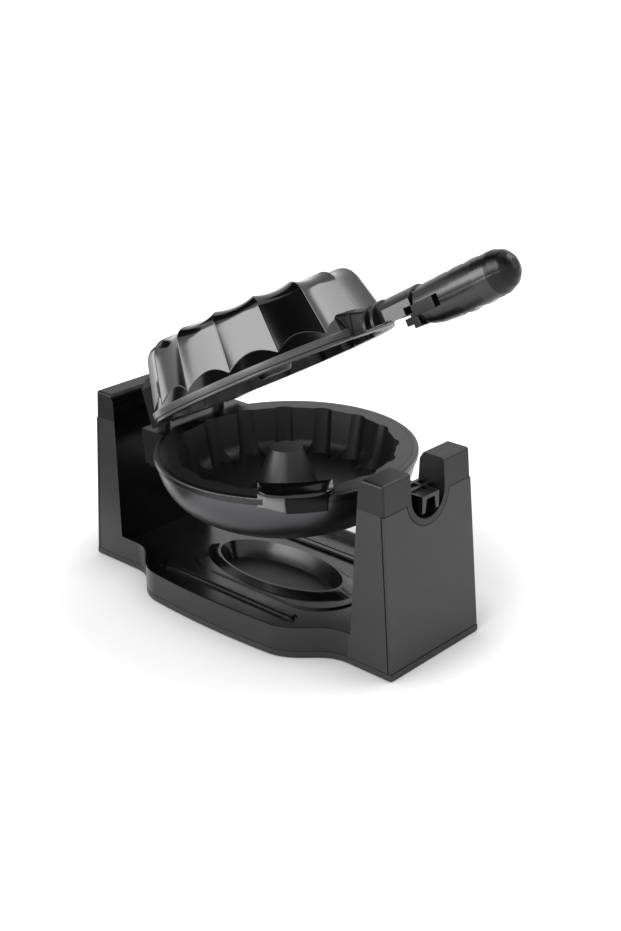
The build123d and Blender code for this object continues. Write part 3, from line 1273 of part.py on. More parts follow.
# Half width, height above and depth below the axis along the grip
GRIP_STATIONS = ((0.0, 15.9, 15.5, 13.5), (4.0, 16.0, 15.7, 16.6), (12.0, 16.1, 15.9, 18.3),
                 (40.0, 16.4, 16.6, 20.0), (61.0, 16.4, 16.6, 19.4), (77.0, 15.4, 15.9, 18.2),
                 (85.0, 12.3, 13.0, 15.2), (89.5, 8.2, 8.8, 10.8), (GRIP_LENGTH, 3.5, 4.0, 5.5))
with BuildPart() as grip_body:
    for along, side, top, bottom in GRIP_STATIONS:
        add(grip_section(GRIP_START + along, side, top, bottom))
    loft(ruled=True)
    # Finger scallops above and below
    for number in range(SCALLOPS):
        along = GRIP_START + SCALLOP_FIRST + number * SCALLOP_PITCH
        for high in (GRIP_TOP, -GRIP_BELLY):
            away = SCALLOP_RADIUS - SCALLOP_DEPTH
            with BuildSketch(Plane.XZ):
                with Locations((along, AXIS + high + (away if high > 0 else -away))):
                    Circle(SCALLOP_RADIUS)
            extrude(amount=2 * NECK_SIDE, both=True, mode=Mode.SUBTRACT)
    add(across([(GRIP_START - 1, AXIS - SLOT_DOWN), (tongue_end + SLOT_PAST_TONGUE, AXIS - SLOT_DOWN),
                (tongue_end + SLOT_PAST_TONGUE, AXIS + SLOT_UP), (GRIP_START - 1, AXIS + SLOT_UP)],
               2 * NECK_SIDE), mode=Mode.SUBTRACT)
    add(spigot, mode=Mode.SUBTRACT)
parting_line = AXIS - 1
grip_start = GRIP_START - BEYOND
grip_end = GRIP_START + GRIP_LENGTH + BEYOND
grip_half = across([(grip_start, parting_line), (grip_end, parting_line), (grip_end, STAND_TOP + BEYOND),
                    (grip_start, STAND_TOP + BEYOND)], 2 * NECK_SIDE)
core_start = GRIP_START + GRIP_CORE[0]
core_end = GRIP_START + GRIP_CORE[1]
grip_core = across([(core_start, AXIS - GRIP_CORE_SIDE), (core_end, AXIS - GRIP_CORE_SIDE),
                    (core_end, AXIS + GRIP_CORE_SIDE), (core_start, AXIS + GRIP_CORE_SIDE)], GRIP_CORE_SIDE)
grip_screw = screw(SCREW_RADIUS, SCREW_HEAD, HUB_SCREW_HEAD, 2 * HUB_SCREW_LENGTH)
screw_seat = AXIS - GRIP_SCREW_DEPTH
grip_screw_spots = [Location((GRIP_START + along, 0, screw_seat)) for along in GRIP_SCREWS]

# Handle grip in two halves, screwed together from below
with BuildPart() as grip_upper:
    add(grip_body.part)
    add(grip_half, mode=Mode.INTERSECT)
    add(grip_core, mode=Mode.SUBTRACT)
    with Locations(*grip_screw_spots):
        add(grip_screw, mode=Mode.SUBTRACT)
save(grip_upper.part, "grip_upper", swing=True)

with BuildPart() as grip_lower:
    add(grip_body.part)
    add(grip_half, mode=Mode.SUBTRACT)
    add(grip_core, mode=Mode.SUBTRACT)
    with Locations(*grip_screw_spots):
        add(grip_screw, mode=Mode.SUBTRACT)
    with BuildSketch(Plane.XY.offset(screw_seat)):
        with Locations(*[(GRIP_START + along, 0) for along in GRIP_SCREWS]):
            Circle(GRIP_SCREW_HEAD_WAY)
    extrude(amount=-2 * GRIP_BELLY, mode=Mode.SUBTRACT)
save(grip_lower.part, "grip_lower", swing=True)

with BuildPart() as grip_screws:
    with Locations(*grip_screw_spots):
        add(grip_screw)
save(grip_screws.part, "grip_screws", swing=True)
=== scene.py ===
# %% [markdown]
# # A small cake maker that turns over on its stand
# The object is a round cooker with a fluted lid. It hangs on a shaft between two pillars of a
# dark plastic stand. X runs along the stand, -Y is the front and +Z is up. The scene is in
# metres, and a size that is written in millimetres is multiplied by MM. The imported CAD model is
# loaded first, and its shapes are never changed: it is the frame that every dressed piece is
# fitted to.

# %% Load the frame
import json
from math import atan2, cos, degrees, hypot, pi, radians, sin, tan

import bpy
from mathutils import Matrix, Vector


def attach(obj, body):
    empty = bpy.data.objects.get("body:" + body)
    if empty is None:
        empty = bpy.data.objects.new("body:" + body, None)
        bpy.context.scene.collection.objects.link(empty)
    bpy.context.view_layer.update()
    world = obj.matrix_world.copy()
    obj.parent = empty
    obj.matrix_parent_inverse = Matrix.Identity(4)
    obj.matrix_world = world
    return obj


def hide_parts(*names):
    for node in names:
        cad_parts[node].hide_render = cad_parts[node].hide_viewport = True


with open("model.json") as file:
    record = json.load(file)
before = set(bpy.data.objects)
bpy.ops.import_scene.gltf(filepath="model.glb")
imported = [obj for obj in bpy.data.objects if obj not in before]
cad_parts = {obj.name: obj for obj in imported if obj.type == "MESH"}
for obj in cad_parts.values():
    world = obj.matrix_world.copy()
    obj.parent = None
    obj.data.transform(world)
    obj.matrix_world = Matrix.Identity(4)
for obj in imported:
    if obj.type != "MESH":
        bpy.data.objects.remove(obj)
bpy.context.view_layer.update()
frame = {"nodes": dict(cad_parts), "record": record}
MM = 0.001

# %% [markdown]
# ## Working by hand, in code
# Operators act on whatever is selected, so one helper clears the selection and makes a single
# object the active one. The helper `settle` ends each piece: it gives the piece its finish,
# smooths it up to a chosen angle, lets it ride on its body, and hides the CAD nodes that it
# stands for. It also applies the object's place to its mesh, because a CAD node has its place
# in its mesh too.

# %% Helpers for selection and for finishing a piece
def only(piece):
    """Makes this the one selected and active object."""
    bpy.ops.object.select_all(action="DESELECT")
    piece.select_set(True)
    bpy.context.view_layer.objects.active = piece


def edit(piece):
    """Opens a piece in edit mode with everything selected."""
    only(piece)
    bpy.ops.object.mode_set(mode="EDIT")
    bpy.ops.mesh.select_all(action="SELECT")


def done():
    """Back to object mode."""
    bpy.ops.object.mode_set(mode="OBJECT")


def settle(piece, name, body, finish, stands_for, angle=35):
    """Names a piece, gives it a finish and smooth shading, and lets it ride on a body."""
    piece.name = name
    piece.data.materials.clear()
    piece.data.materials.append(finish)
    only(piece)
    bpy.ops.object.transform_apply(location=True, rotation=True, scale=True)
    bpy.ops.object.shade_smooth_by_angle(angle=radians(angle))
    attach(piece, body)
    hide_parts(*stands_for)
    print(name, len(piece.data.polygons), "faces")


# %% [markdown]
# ## How a finish is made
# Each finish is one Principled shader. A moulded or painted surface is never quite even, so a
# noise pattern on Object coordinates moves the roughness and the tint a little, and a finer one
# gives the grain as a bump. Tones are written as they look on a screen, from 0 to 255, and
# turned into the linear values that the renderer wants. Sizes of the patterns are in
# millimetres. Pictures of the surfaces could be used instead, but noise needs no file and shows
# no seam.

# %% Helper that makes a finish
LEAST_ROUGHNESS = 0.02
TINT_DRIFT = 1.12
CLOUD_DETAIL = 3
GRAIN_DETAIL = 2
GRAIN_HEIGHT = 0.0002


def linear(tone):
    """Linear value of a screen tone from 0 to 255, by the sRGB curve."""
    value = tone / 255
    return value / 12.92 if value <= 0.04045 else ((value + 0.055) / 1.055) ** 2.4


def colour(red, green, blue):
    """Linear colour of three screen tones."""
    return (linear(red), linear(green), linear(blue), 1)


def new_node(tree, kind, inputs=()):
    """New shader node with the values of its inputs."""
    node = tree.nodes.new(kind)
    for name, value in dict(inputs).items():
        node.inputs[name].default_value = value
    return node


def make_finish(name, tint, rough, metallic=0.0, grain=0.0, grain_size=0.4, cloud=0.05,
                cloud_size=20.0, specular=0.5):
    """Principled finish with cloudy roughness, a slight drift of tint and a fine grain."""
    finish = bpy.data.materials.new(name)
    finish.use_nodes = True
    tree = finish.node_tree
    join = tree.links.new
    shader = tree.nodes["Principled BSDF"]
    shader.inputs["Metallic"].default_value = metallic
    shader.inputs["Specular IOR Level"].default_value = specular
    place = new_node(tree, "ShaderNodeTexCoord")
    clouds = new_node(tree, "ShaderNodeTexNoise",
                      {"Scale": 1 / (cloud_size * MM), "Detail": CLOUD_DETAIL})
    spread = new_node(tree, "ShaderNodeMapRange",
                      {"To Min": max(rough - cloud, LEAST_ROUGHNESS), "To Max": rough + cloud})
    drifted = tuple(value * TINT_DRIFT for value in tint[:3]) + (1,)
    tints = new_node(tree, "ShaderNodeMixRGB", {"Color1": tint, "Color2": drifted})
    join(place.outputs["Object"], clouds.inputs["Vector"])
    join(clouds.outputs["Fac"], spread.inputs["Value"])
    join(spread.outputs["Result"], shader.inputs["Roughness"])
    join(clouds.outputs["Fac"], tints.inputs["Fac"])
    join(tints.outputs["Color"], shader.inputs["Base Color"])
    if grain:
        grains = new_node(tree, "ShaderNodeTexNoise",
                          {"Scale": 1 / (grain_size * MM), "Detail": GRAIN_DETAIL})
        bump = new_node(tree, "ShaderNodeBump", {"Strength": grain, "Distance": GRAIN_HEIGHT})
        join(place.outputs["Object"], grains.inputs["Vector"])
        join(grains.outputs["Fac"], bump.inputs["Height"])
        join(bump.outputs["Normal"], shader.inputs["Normal"])
    return finish


# %% [markdown]
# ## The finishes
# The stand is finely textured, the tray polished, the bowl satin metal and the lid gloss black.
# One black for all of the plastic would be simpler, but the dark pieces lie against each other
# and are told apart by their gloss. A table says which finish each material slot of the CAD
# model gets.

# %% The finishes of this object
stand_plastic = make_finish("textured_stand_plastic", colour(28, 28, 29), 0.44, grain=0.25,
                            grain_size=0.7)
tray_plastic = make_finish("polished_tray_plastic", colour(7, 7, 7), 0.22, cloud=0.04,
                           specular=0.6)
# Painted shade: near black and dull, for the sides of the pillars that face the tray.
painted_shade_black = make_finish("painted_shade_inner_sides", colour(5, 5, 5), 0.22, cloud=0.04, specular=0.15)
cap_plastic = make_finish("cap_plastic", colour(8, 8, 9), 0.44, grain=0.15, grain_size=0.7,
                          specular=0.4)
lid_gloss = make_finish("gloss_black_lid", colour(8, 8, 8), 0.14, cloud=0.03, specular=0.7)
satin_black = make_finish("satin_black_plastic", colour(12, 12, 12), 0.34, grain=0.08,
                          grain_size=0.5)
handle_black = make_finish("handle_plastic", colour(13, 13, 13), 0.30, grain=0.05, grain_size=0.5)
grip_black = make_finish("gloss_grip_plastic", colour(9, 9, 9), 0.25, cloud=0.03, specular=0.6)
ball_black = make_finish("dark_ball_end", colour(4, 4, 4), 0.3, cloud=0.02, specular=0.3)
neck_grey = make_finish("grey_neck_plastic", colour(104, 104, 104), 0.35)
bowl_metal = make_finish("satin_bowl_metal", colour(80, 80, 82), 0.32, metallic=0.85,
                         cloud_size=60)
rim_grey = make_finish("grey_rim_plastic", colour(70, 70, 71), 0.3, cloud=0.04)
plate_coat = make_finish("non_stick_coating", colour(24, 24, 25), 0.42, grain=0.2, grain_size=0.9)
steel = make_finish("plain_steel", colour(170, 170, 172), 0.3, metallic=1.0)
dark_steel = make_finish("heater_steel", colour(95, 92, 90), 0.4, metallic=0.9)
catch_gloss = make_finish("gloss_black_catch", colour(5, 5, 5), 0.12, cloud=0.02, specular=0.4)
pull_black = make_finish("dull_black_pull", colour(8, 8, 8), 0.3, specular=0.15)
rubber = make_finish("foot_rubber", colour(28, 28, 28), 0.75, grain=0.2)
pale_plastic = make_finish("terminal_plastic", colour(215, 210, 198), 0.5)
catch_grey = make_finish("catch_frame_plastic", colour(112, 112, 112), 0.4, grain=0.1)

FINISHES = {
    "stand_plastic": stand_plastic, "feet_rubber": rubber, "screw_steel": steel,
    "gland_rubber": rubber, "pale_plastic": pale_plastic, "bearing_plastic": satin_black,
    "bowl_metal": bowl_metal, "black_plastic": satin_black, "coated_plate": plate_coat,
    "heater_steel": dark_steel, "pin_steel": steel, "grey_plastic": catch_grey,
    "lid_gloss": lid_gloss, "rim_grey": rim_grey, "handle_plastic": handle_black,
}
print(len(FINISHES), "material slots have a finish")

# %% [markdown]
# ## Pieces whose CAD shape is right
# The CAD nodes arrive as loose triangles with knife-sharp edges, and real mouldings never have
# those. They could be modelled again, but their shape is right already. So a copy of each is
# merged, its flat triangles are dissolved, and a small bevel breaks the edges so that they
# catch the light. The copy then stands for the node. The halves of the grip have many small
# facets, so only their sharpest edges are bevelled. The nodes get their finishes too, for those
# that nothing stands for.

# %% Copies with softened edges
SAME_POINT = 0.000002
FLAT_ANGLE = 0.4
EDGE_ANGLE = 32
SEAM_ANGLE = 60
BEVEL_SEGMENTS = 2

record = frame["record"]
slot_of = {row["node"]: row["material_slot"] for row in record["subparts"]}
body_of = {node: body for body, nodes in record["behaviour"]["bodies"].items() for node in nodes}


def bevelled(piece, width, angle):
    """Breaks the edges sharper than an angle in degrees, by a width in millimetres."""
    only(piece)
    bevel = piece.modifiers.new("edges", "BEVEL")
    bevel.width = width * MM
    bevel.segments = BEVEL_SEGMENTS
    bevel.limit_method = "ANGLE"
    bevel.angle_limit = radians(angle)
    bpy.ops.object.modifier_apply(modifier=bevel.name)
    return piece


def softened(node, width, finish=None, angle=EDGE_ANGLE):
    """Merged copy of a CAD node with its edges bevelled by a width in millimetres."""
    piece = bpy.data.objects.new(node + "_dressed", frame["nodes"][node].data.copy())
    bpy.context.scene.collection.objects.link(piece)
    edit(piece)
    bpy.ops.mesh.customdata_custom_splitnormals_clear()
    bpy.ops.mesh.remove_doubles(threshold=SAME_POINT)
    bpy.ops.mesh.dissolve_limited(angle_limit=radians(FLAT_ANGLE))
    done()
    if width:
        bevelled(piece, width, angle)
    settle(piece, node + "_dressed", body_of[node], finish or FINISHES[slot_of[node]], (node,))
    even = piece.modifiers.new("even_light", "WEIGHTED_NORMAL")
    even.keep_sharp = True
    bpy.ops.object.modifier_apply(modifier=even.name)


for row in (("base_housing", 1.0), ("left_pillar_cap", 0.8, cap_plastic),
            ("right_pillar_cap", 0.8, cap_plastic), ("left_end_cover", 0.5),
            ("right_end_cover", 0.5), ("bottom_cover", 0.5), ("handle_bracket", 0.4),
            ("handle_neck", 0.5), ("lock_slider", 0.5), ("lower_half_shaft", 0.4),
            ("upper_hinge_bracket", 0.6), ("lower_hinge_bracket", 0.6), ("lower_rim_ring", 0.4),
            ("lower_plate", 0), ("upper_plate", 0), ("grip_upper", 0.45, grip_black, SEAM_ANGLE),
            ("grip_lower", 0.45, grip_black, SEAM_ANGLE)):
    softened(*row)
for node, piece in frame["nodes"].items():
    piece.data.materials.clear()
    piece.data.materials.append(FINISHES[slot_of[node]])

# %% [markdown]
# ## Faces with a finish of their own
# The tray is polished, unlike the rest of the stand. The sides of the pillars that face it, and
# the side of the left cap over it, are painted near black and dull: painted shade, for the shade
# that falls between the pillars. The flat sides of the handle's neck are grey. These could be
# pieces of their own, but they would need seams that the moulding doesn't have, so only the
# finish of their faces changes. The faces are picked by their place, in metres, and by the way
# they look: a normal has a length of 1, and each part of it says how much the face looks that way.

# %% Tray, painted shade on the inner sides of the pillars, and neck
TRAY_END = 0.1475
TRAY_HALF_DEPTH = 0.118
TRAY_FOOT = 0.012
PILLAR_FROM = 0.125
PILLAR_FOOT = 0.03
ANY_TURN_IN = 0.02
FULL_TURN_IN = 0.5
FACING_UP = 0.3
FACING_FRONT = -0.6
CAP_SIDE = 0.8
NECK_SIDE = 0.9


def paint(name, finish, chosen):
    """Gives one more finish to the faces of a piece that a test chooses."""
    mesh = bpy.data.objects[name].data
    mesh.materials.append(finish)
    faces = [face for face in mesh.polygons if chosen(face)]
    for face in faces:
        face.material_index = len(mesh.materials) - 1
    print(name, len(faces), "faces of", len(mesh.polygons), "in", finish.name)


def turned_in(face, least):
    """Whether a face looks towards the middle of the stand by at least this much."""
    x = face.center.x
    return face.normal.x * x < -least * abs(x)


def in_tray(face):
    """Whether a face belongs to the tray or looks into it."""
    x, y, z = face.center
    floor_or_edge = face.normal.z > FACING_UP or abs(y) < TRAY_HALF_DEPTH
    return ((turned_in(face, ANY_TURN_IN) and face.normal.y > FACING_FRONT)
            or (abs(x) < TRAY_END and z > TRAY_FOOT and floor_or_edge))


def on_pillar(face):
    """Whether a face is the side of a pillar that looks into the tray."""
    return (in_tray(face) and turned_in(face, FULL_TURN_IN)
            and abs(face.center.x) > PILLAR_FROM and face.center.z > PILLAR_FOOT)


paint("base_housing_dressed", tray_plastic, in_tray)
# Painted shade on the sides of the pillars and of the left cap that look into the tray.
paint("base_housing_dressed", painted_shade_black, on_pillar)
paint("left_pillar_cap_dressed", painted_shade_black, lambda face: face.normal.x > CAP_SIDE)
paint("handle_neck_dressed", neck_grey, lambda face: abs(face.normal.y) > NECK_SIDE)

# %% [markdown]
# ## Turned profiles
# The bowl, the rim of the lid, the dome and the catch are all turned shapes. They could be built
# up from cylinders, but a turned profile gives even rows of points, which the flutes and the
# crescent need. The profile is drawn by extruding one vertex from corner to corner, and the
# spin operator sweeps it about the bowl's middle. Radii are in millimetres from that middle,
# and heights from the turning axis.

# %% Profile and spin helpers
MIDDLE_X = 16.2
AXIS_Z = 147.0
WELD = 0.000005
ROUND_UP = 0.999


def rounded(corners, segments=4):
    """Points of a profile whose corners (radius, height, rounding) are rounded off."""
    points = []
    for number, (x, z, rounding) in enumerate(corners):
        here = Vector((x, z))
        if not rounding:
            points.append(here)
            continue
        back = (Vector(corners[number - 1][:2]) - here).normalized()
        on = (Vector(corners[(number + 1) % len(corners)][:2]) - here).normalized()
        half = back.angle(on) / 2
        centre = here + (back + on).normalized() * (rounding / sin(half))
        first = here + back * (rounding / tan(half)) - centre
        last = here + on * (rounding / tan(half)) - centre
        turn = first.angle_signed(last)
        for step in range(segments + 1):
            spoke = first.copy()
            spoke.rotate(Matrix.Rotation(-turn * step / segments, 2))
            points.append(centre + spoke)
    return points


def divided(points, longest):
    """The same points with more between them, so that no run is longer than asked."""
    result = [points[0]]
    for start, end in zip(points, points[1:]):
        parts = max(1, int((end - start).length / longest + ROUND_UP))
        result += [start.lerp(end, part / parts) for part in range(1, parts + 1)]
    return result


def spun(points, steps, sweep=2 * pi):
    """Draws a profile by extrusion and spins it about the middle of the bowl."""
    places = [Vector((MIDDLE_X + radius, 0, AXIS_Z + height)) * MM for radius, height in points]
    bpy.ops.object.select_all(action="DESELECT")
    bpy.ops.mesh.primitive_plane_add(size=MM)
    piece = bpy.context.active_object
    edit(piece)
    bpy.ops.mesh.merge(type="CENTER")
    bpy.ops.transform.translate(value=places[0])
    for here, there in zip(places, places[1:]):
        bpy.ops.mesh.extrude_vertices_move(TRANSFORM_OT_translate={"value": there - here})
    bpy.ops.mesh.select_all(action="SELECT")
    bpy.ops.mesh.spin(steps=steps, angle=sweep, center=(MIDDLE_X * MM, 0, 0), axis=(0, 0, 1))
    bpy.ops.mesh.select_all(action="SELECT")
    bpy.ops.mesh.remove_doubles(threshold=WELD)
    bpy.ops.mesh.normals_make_consistent(inside=False)
    done()
    return piece


def turned(place):
    """Radius, angle and height of a place in the scene."""
    x, y, z = (value / MM for value in place)
    return hypot(x - MIDDLE_X, y), atan2(y, x - MIDDLE_X), z - AXIS_Z


def placed(radius, turn, height):
    """The place in the scene that has this radius, angle and height."""
    return Vector((MIDDLE_X + radius * cos(turn), radius * sin(turn), AXIS_Z + height)) * MM


# %% [markdown]
# ## Bowl
# The bowl is one deep-drawn shell: a shallow floor, a wide round and a short upright wall.
# Solidify could thicken a single skin, but the inside is drawn in the profile as well, so that
# the shell is closed and its thin upper edge stays level.

# %% Bowl
BOWL_STEPS = 128
BOWL_RUN = 12
bowl_line = rounded([(0, -58.5, 0), (108.8, -54, 54), (113.8, -7, 0)], segments=16)
bowl_inside = rounded([(112.3, -7, 0), (107.6, -52.6, 52.6), (0, -57.1, 0)], segments=16)
bowl = spun(divided(bowl_line, BOWL_RUN) + divided(bowl_inside, BOWL_RUN), BOWL_STEPS)
settle(bowl, "bowl_shell", "cooker", bowl_metal, ("lower_housing",), angle=40)

# %% [markdown]
# ## Lid: the smooth dome
# The lid is a dome whose wall is pressed into sixteen wide flutes that meet in sharp ridges. A
# plain cone, the skirt, comes up from the rim and cuts the flutes off in arches. A Boolean
# could cut the flutes, but it leaves long thin faces that spoil the gloss, and points that are
# moved in their rows don't. So the smooth dome is spun first, with fourteen columns of points
# to a flute, closer together at the ridges. The low part of its wall has close rows, because
# the arches end there.

# %% Lid: profile and spin
FLUTES = 16
PITCH = 360 / FLUTES
FIRST_RIDGE = 6.7
ACROSS = (-1, -0.965, -0.88, -0.72, -0.54, -0.36, -0.18, 0,
          0.18, 0.36, 0.54, 0.72, 0.88, 0.965)
WALL_FOOT = Vector((109.6, 9))
EDGE = (95.89, 62, 15)
LOW_PART = 0.36
LOW_RUN, HIGH_RUN, INNER_RUN = 0.9, 4, 15

upper_line = rounded([tuple(WALL_FOOT) + (0,), EDGE, (0, 65, 0)], segments=8)
low_wall = divided([WALL_FOOT, WALL_FOOT.lerp(upper_line[1], LOW_PART)], LOW_RUN)
outer_line = low_wall + divided([low_wall[-1]] + upper_line[1:], HIGH_RUN)[1:]
inner_line = rounded([(0, 62.4, 0), (88.5, 58.2, 8), (102.8, 9, 0)])
lid_line = outer_line + divided(inner_line, INNER_RUN) + [Vector(WALL_FOOT)]
lid = spun(lid_line, FLUTES * len(ACROSS))
print("smooth dome", len(lid.data.vertices), "points,", len(low_wall), "rows in its low wall")

# %% [markdown]
# ## Lid: the flutes
# Every point of the outside is pressed in, square to the slope of the wall, most in the middle
# of its flute. The press fades out on the top of the dome. The crease where a flute meets the
# skirt is found by halving, the lowest rows are laid on the skirt below it, and the others are
# spread over the flute above it.

# %% Lid: press the flutes
DEPTH_LOW, DEPTH_HIGH = 4.7, 3.7
FADE_FULL, FADE_NONE = 90, 52
WALL_LEAN = radians(14.5)
WALL_OUT = Vector((cos(WALL_LEAN), sin(WALL_LEAN)))
SKIRT_FOOT = 110.5
SKIRT_SLOPE = 0.75
SKIRT_ROWS = 8
HALVINGS = 20
ON_PROFILE = 0.05


def pressed(base, outwards, share):
    """A point of the outside after its flute is pressed in; share runs from -1 to 1 across it."""
    rise = (base.y - WALL_FOOT.y) / (EDGE[1] - WALL_FOOT.y)
    fade = min(1, max(0, (base.x - FADE_NONE) / (FADE_FULL - FADE_NONE)))
    depth = (DEPTH_LOW + (DEPTH_HIGH - DEPTH_LOW) * rise) * fade
    return base - outwards * (depth * (1 - share * share))


def on_wall(part, share):
    """The pressed point that was this part of the way up the low wall."""
    return pressed(low_wall[0].lerp(low_wall[-1], part), WALL_OUT, share)


def meeting(share):
    """How far up the low wall the skirt meets the flute."""
    low, high = 0.0, 1.0
    for _ in range(HALVINGS):
        middle = (low + high) / 2
        spot = on_wall(middle, share)
        skirt = SKIRT_FOOT - SKIRT_SLOPE * (spot.y - WALL_FOOT.y)
        low, high = (low, middle) if spot.x > skirt else (middle, high)
    return high


meetings = [meeting(share) for share in ACROSS]
padded = outer_line[:1] + outer_line + outer_line[-1:]
runs = [(after - before).normalized() for before, after in zip(padded, padded[2:])]
slopes = [Vector((run.y, -run.x)) for run in runs]


def fluted(spot, column):
    """Where a point of the smooth dome goes in its column of the flute."""
    row = min(range(len(outer_line)), key=lambda k: (outer_line[k] - spot).length)
    if (outer_line[row] - spot).length >= ON_PROFILE:
        return spot
    share = ACROSS[column]
    top = meetings[column]
    if row >= len(low_wall):
        return pressed(spot, slopes[row], share)
    if row < SKIRT_ROWS:
        return Vector((SKIRT_FOOT, WALL_FOOT.y)).lerp(on_wall(top, share), row / SKIRT_ROWS)
    part = top + (1 - top) * (row - SKIRT_ROWS) / (len(low_wall) - 1 - SKIRT_ROWS)
    return on_wall(part, share)


for vertex in lid.data.vertices:
    radius, turn, height = turned(vertex.co)
    flute, column = divmod(round(degrees(turn) % 360 / PITCH * len(ACROSS)), len(ACROSS))
    spot = fluted(Vector((radius, height)), column)
    turn = radians(FIRST_RIDGE + PITCH * (flute + (ACROSS[column] + 1) / 2))
    vertex.co = placed(spot.x, turn, spot.y)

# %% [markdown]
# ## Lid: open
# The lid was modelled shut, and the photograph shows it open. The object could be turned, but a
# finished piece stays unturned and has its place in its mesh, so the mesh is turned up about
# the hinge instead.

# %% Lid: swing it open
HINGE = Vector((-105.3, 0, 160.8)) * MM
OPEN = radians(29.9)


def swing_open(piece):
    """Turns a piece that was modelled on the shut lid up about the hinge."""
    piece.data.transform(Matrix.Translation(HINGE) @ Matrix.Rotation(-OPEN, 4, "Y")
                         @ Matrix.Translation(-HINGE))


swing_open(lid)
settle(lid, "fluted_lid", "lid", lid_gloss, ("lid_housing",), angle=50)

# %% [markdown]
# ## Rim of the lid
# The rim is a moulding of its own: a thin bead below, a fine groove, and an upright band that
# carries the dome. Its groove could be drawn by a bump, but it shows in the outline, so it is
# in the profile.

# %% Rim of the lid
RIM_STEPS = 160
rim_line = rounded([(107.8, 0.3, 0), (110.6, 0.3, 0.8), (110.6, 2.5, 0.7), (109.5, 2.7, 0),
                    (109.5, 3.2, 0), (111.6, 3.3, 0.5), (111.6, 9, 0.9), (102.8, 9, 0),
                    (102.8, 7, 0), (107.8, 7, 0)])
lid_rim = spun(rim_line + rim_line[:1], RIM_STEPS)
swing_open(lid_rim)
settle(lid_rim, "lid_rim_moulding", "lid", rim_grey, ("lid_rim_ring",), angle=40)

# %% [markdown]
# ## Catch in front
# The catch is a black crescent that follows the rim. Its dished lip grows narrow towards both
# ends, and a hollow finger pull hangs below it. A grey frame on the bowl carries it: a block
# with a slanting foot, and a thin back plate. Straight blocks could be bent round the bowl, but
# each part is a closed profile that sweeps a few degrees about it, from one azimuth to another,
# so that it follows the rim from the start.

# %% Catch
TIP_WIDTH = 0.12
CATCH_ANGLE = 40
PULL_TOP = 4.4
LIP_FROM, LIP_TO = -58.0, -26.6
PULL_FROM, PULL_TO = -46.5, -29.6
BLOCK_FROM, BLOCK_TO = -55.4, -46.9
BACK_FROM, BACK_TO = -58, -30
BLOCK_SLANT = 4.5


def swept(points, start, end, steps, crescent=False):
    """Closed profile swept from one azimuth to another, with its ends filled."""
    piece = spun(points + points[:1], steps, radians(end - start))
    edit(piece)
    bpy.ops.mesh.fill_holes(sides=0)
    done()
    inner = min(radius for radius, _ in points)
    for vertex in piece.data.vertices:
        radius, turn, height = turned(vertex.co)
        share = 2 * abs(turn) / radians(end - start) - 1
        if crescent:
            share = sin(share * pi / 2)
            width = TIP_WIDTH + (1 - TIP_WIDTH) * (1 - abs(share) ** 3) ** 0.5
            radius = inner + (radius - inner) * width
        turn = radians(start + (end - start) * (share + 1) / 2)
        vertex.co = placed(radius, turn, height)
    edit(piece)
    bpy.ops.mesh.normals_make_consistent(inside=False)
    done()
    return piece


def joined(pieces):
    """One object made of several."""
    only(pieces[0])
    for piece in pieces:
        piece.select_set(True)
    bpy.ops.object.join()
    return pieces[0]


lip_line = [(113.2, 12.6), (114.4, 12.5), (118, 10.6), (122, 8.7), (124.6, 7.7), (125.5, 7.5),
            (125.9, 7.9), (126.8, 8.1), (127.6, 7.6), (127.8, 6.6), (127.4, 5.4), (126.4, 4.8),
            (122, 5.4), (118, 7.2), (114.4, 9.2), (113.2, 9.4)]
pull_line = [(115.6, 8.6), (118, 7.6), (122, 5.8), (124.4, 5.2), (121.6, 2), (119.2, -2),
             (117.8, -7), (117.4, -13), (115.6, -13)]
lip = swept(lip_line, LIP_FROM, LIP_TO, steps=64, crescent=True)
pull = swept(pull_line, PULL_FROM, PULL_TO, steps=18)
settle(joined([lip, bevelled(pull, 0.5, CATCH_ANGLE)]), "catch_lever", body_of["plate_latch"],
       catch_gloss, ("plate_latch",), angle=40)
paint("catch_lever", pull_black, lambda face: face.center.z < (AXIS_Z + PULL_TOP) * MM)

block_line = [(114.1, 4.2), (120.6, 4.2), (120.6, -6), (114.1, -6)]
block = swept(block_line, BLOCK_FROM, BLOCK_TO, steps=8)
for vertex in block.data.vertices:
    _, turn, height = turned(vertex.co)
    if height < 0:
        share = (degrees(turn) - BLOCK_FROM) / (BLOCK_TO - BLOCK_FROM)
        vertex.co.z -= BLOCK_SLANT * MM * min(1, max(0, share))
back_line = [(114.1, 3.9), (115.2, 3.9), (115.2, -8.5), (114.1, -8.5)]
back_plate = swept(back_line, BACK_FROM, BACK_TO, steps=24)
settle(joined([bevelled(block, 0.6, CATCH_ANGLE), back_plate]), "catch_frame",
       body_of["latch_housing"], catch_grey, ("latch_housing",), angle=40)

# %% [markdown]
# ## Ball end of the grip
# The end of the grip is a darker cap. It could be a piece of its own, but it shares the round of
# the grip, so a second finish is enough. A plane across the grip cuts its faces there, so that
# the cap has a clean edge. Its place is measured from the hinge, along the open lid.

# %% Ball end of the grip
BALL_FROM = 384
lid_way = Vector((cos(OPEN), 0, sin(OPEN)))
for name in ("grip_upper_dressed", "grip_lower_dressed"):
    edit(bpy.data.objects[name])
    bpy.ops.mesh.bisect(plane_co=HINGE + lid_way * (BALL_FROM * MM), plane_no=lid_way)
    done()
    paint(name, ball_black, lambda face: (face.center - HINGE).dot(lid_way) > BALL_FROM * MM)

# %% [markdown]
# ## Camera
# The camera stands where the photographer's did, on the handle side in front, a little above.
# It could be placed by eye, but its place, its aim, its roll and its focal length in pixels
# were fitted to the photograph, so that the two can be laid over each other.

# %% Camera
IMAGE_HEIGHT = 931
FOCAL_PIXELS = 1450.63
SENSOR = 36
CAMERA_PLACE = Vector((836.47, -846.34, 617.18)) * MM
CAMERA_AIM = Vector((44.78, 0.04, 135.46)) * MM
CAMERA_ROLL = radians(0.96)

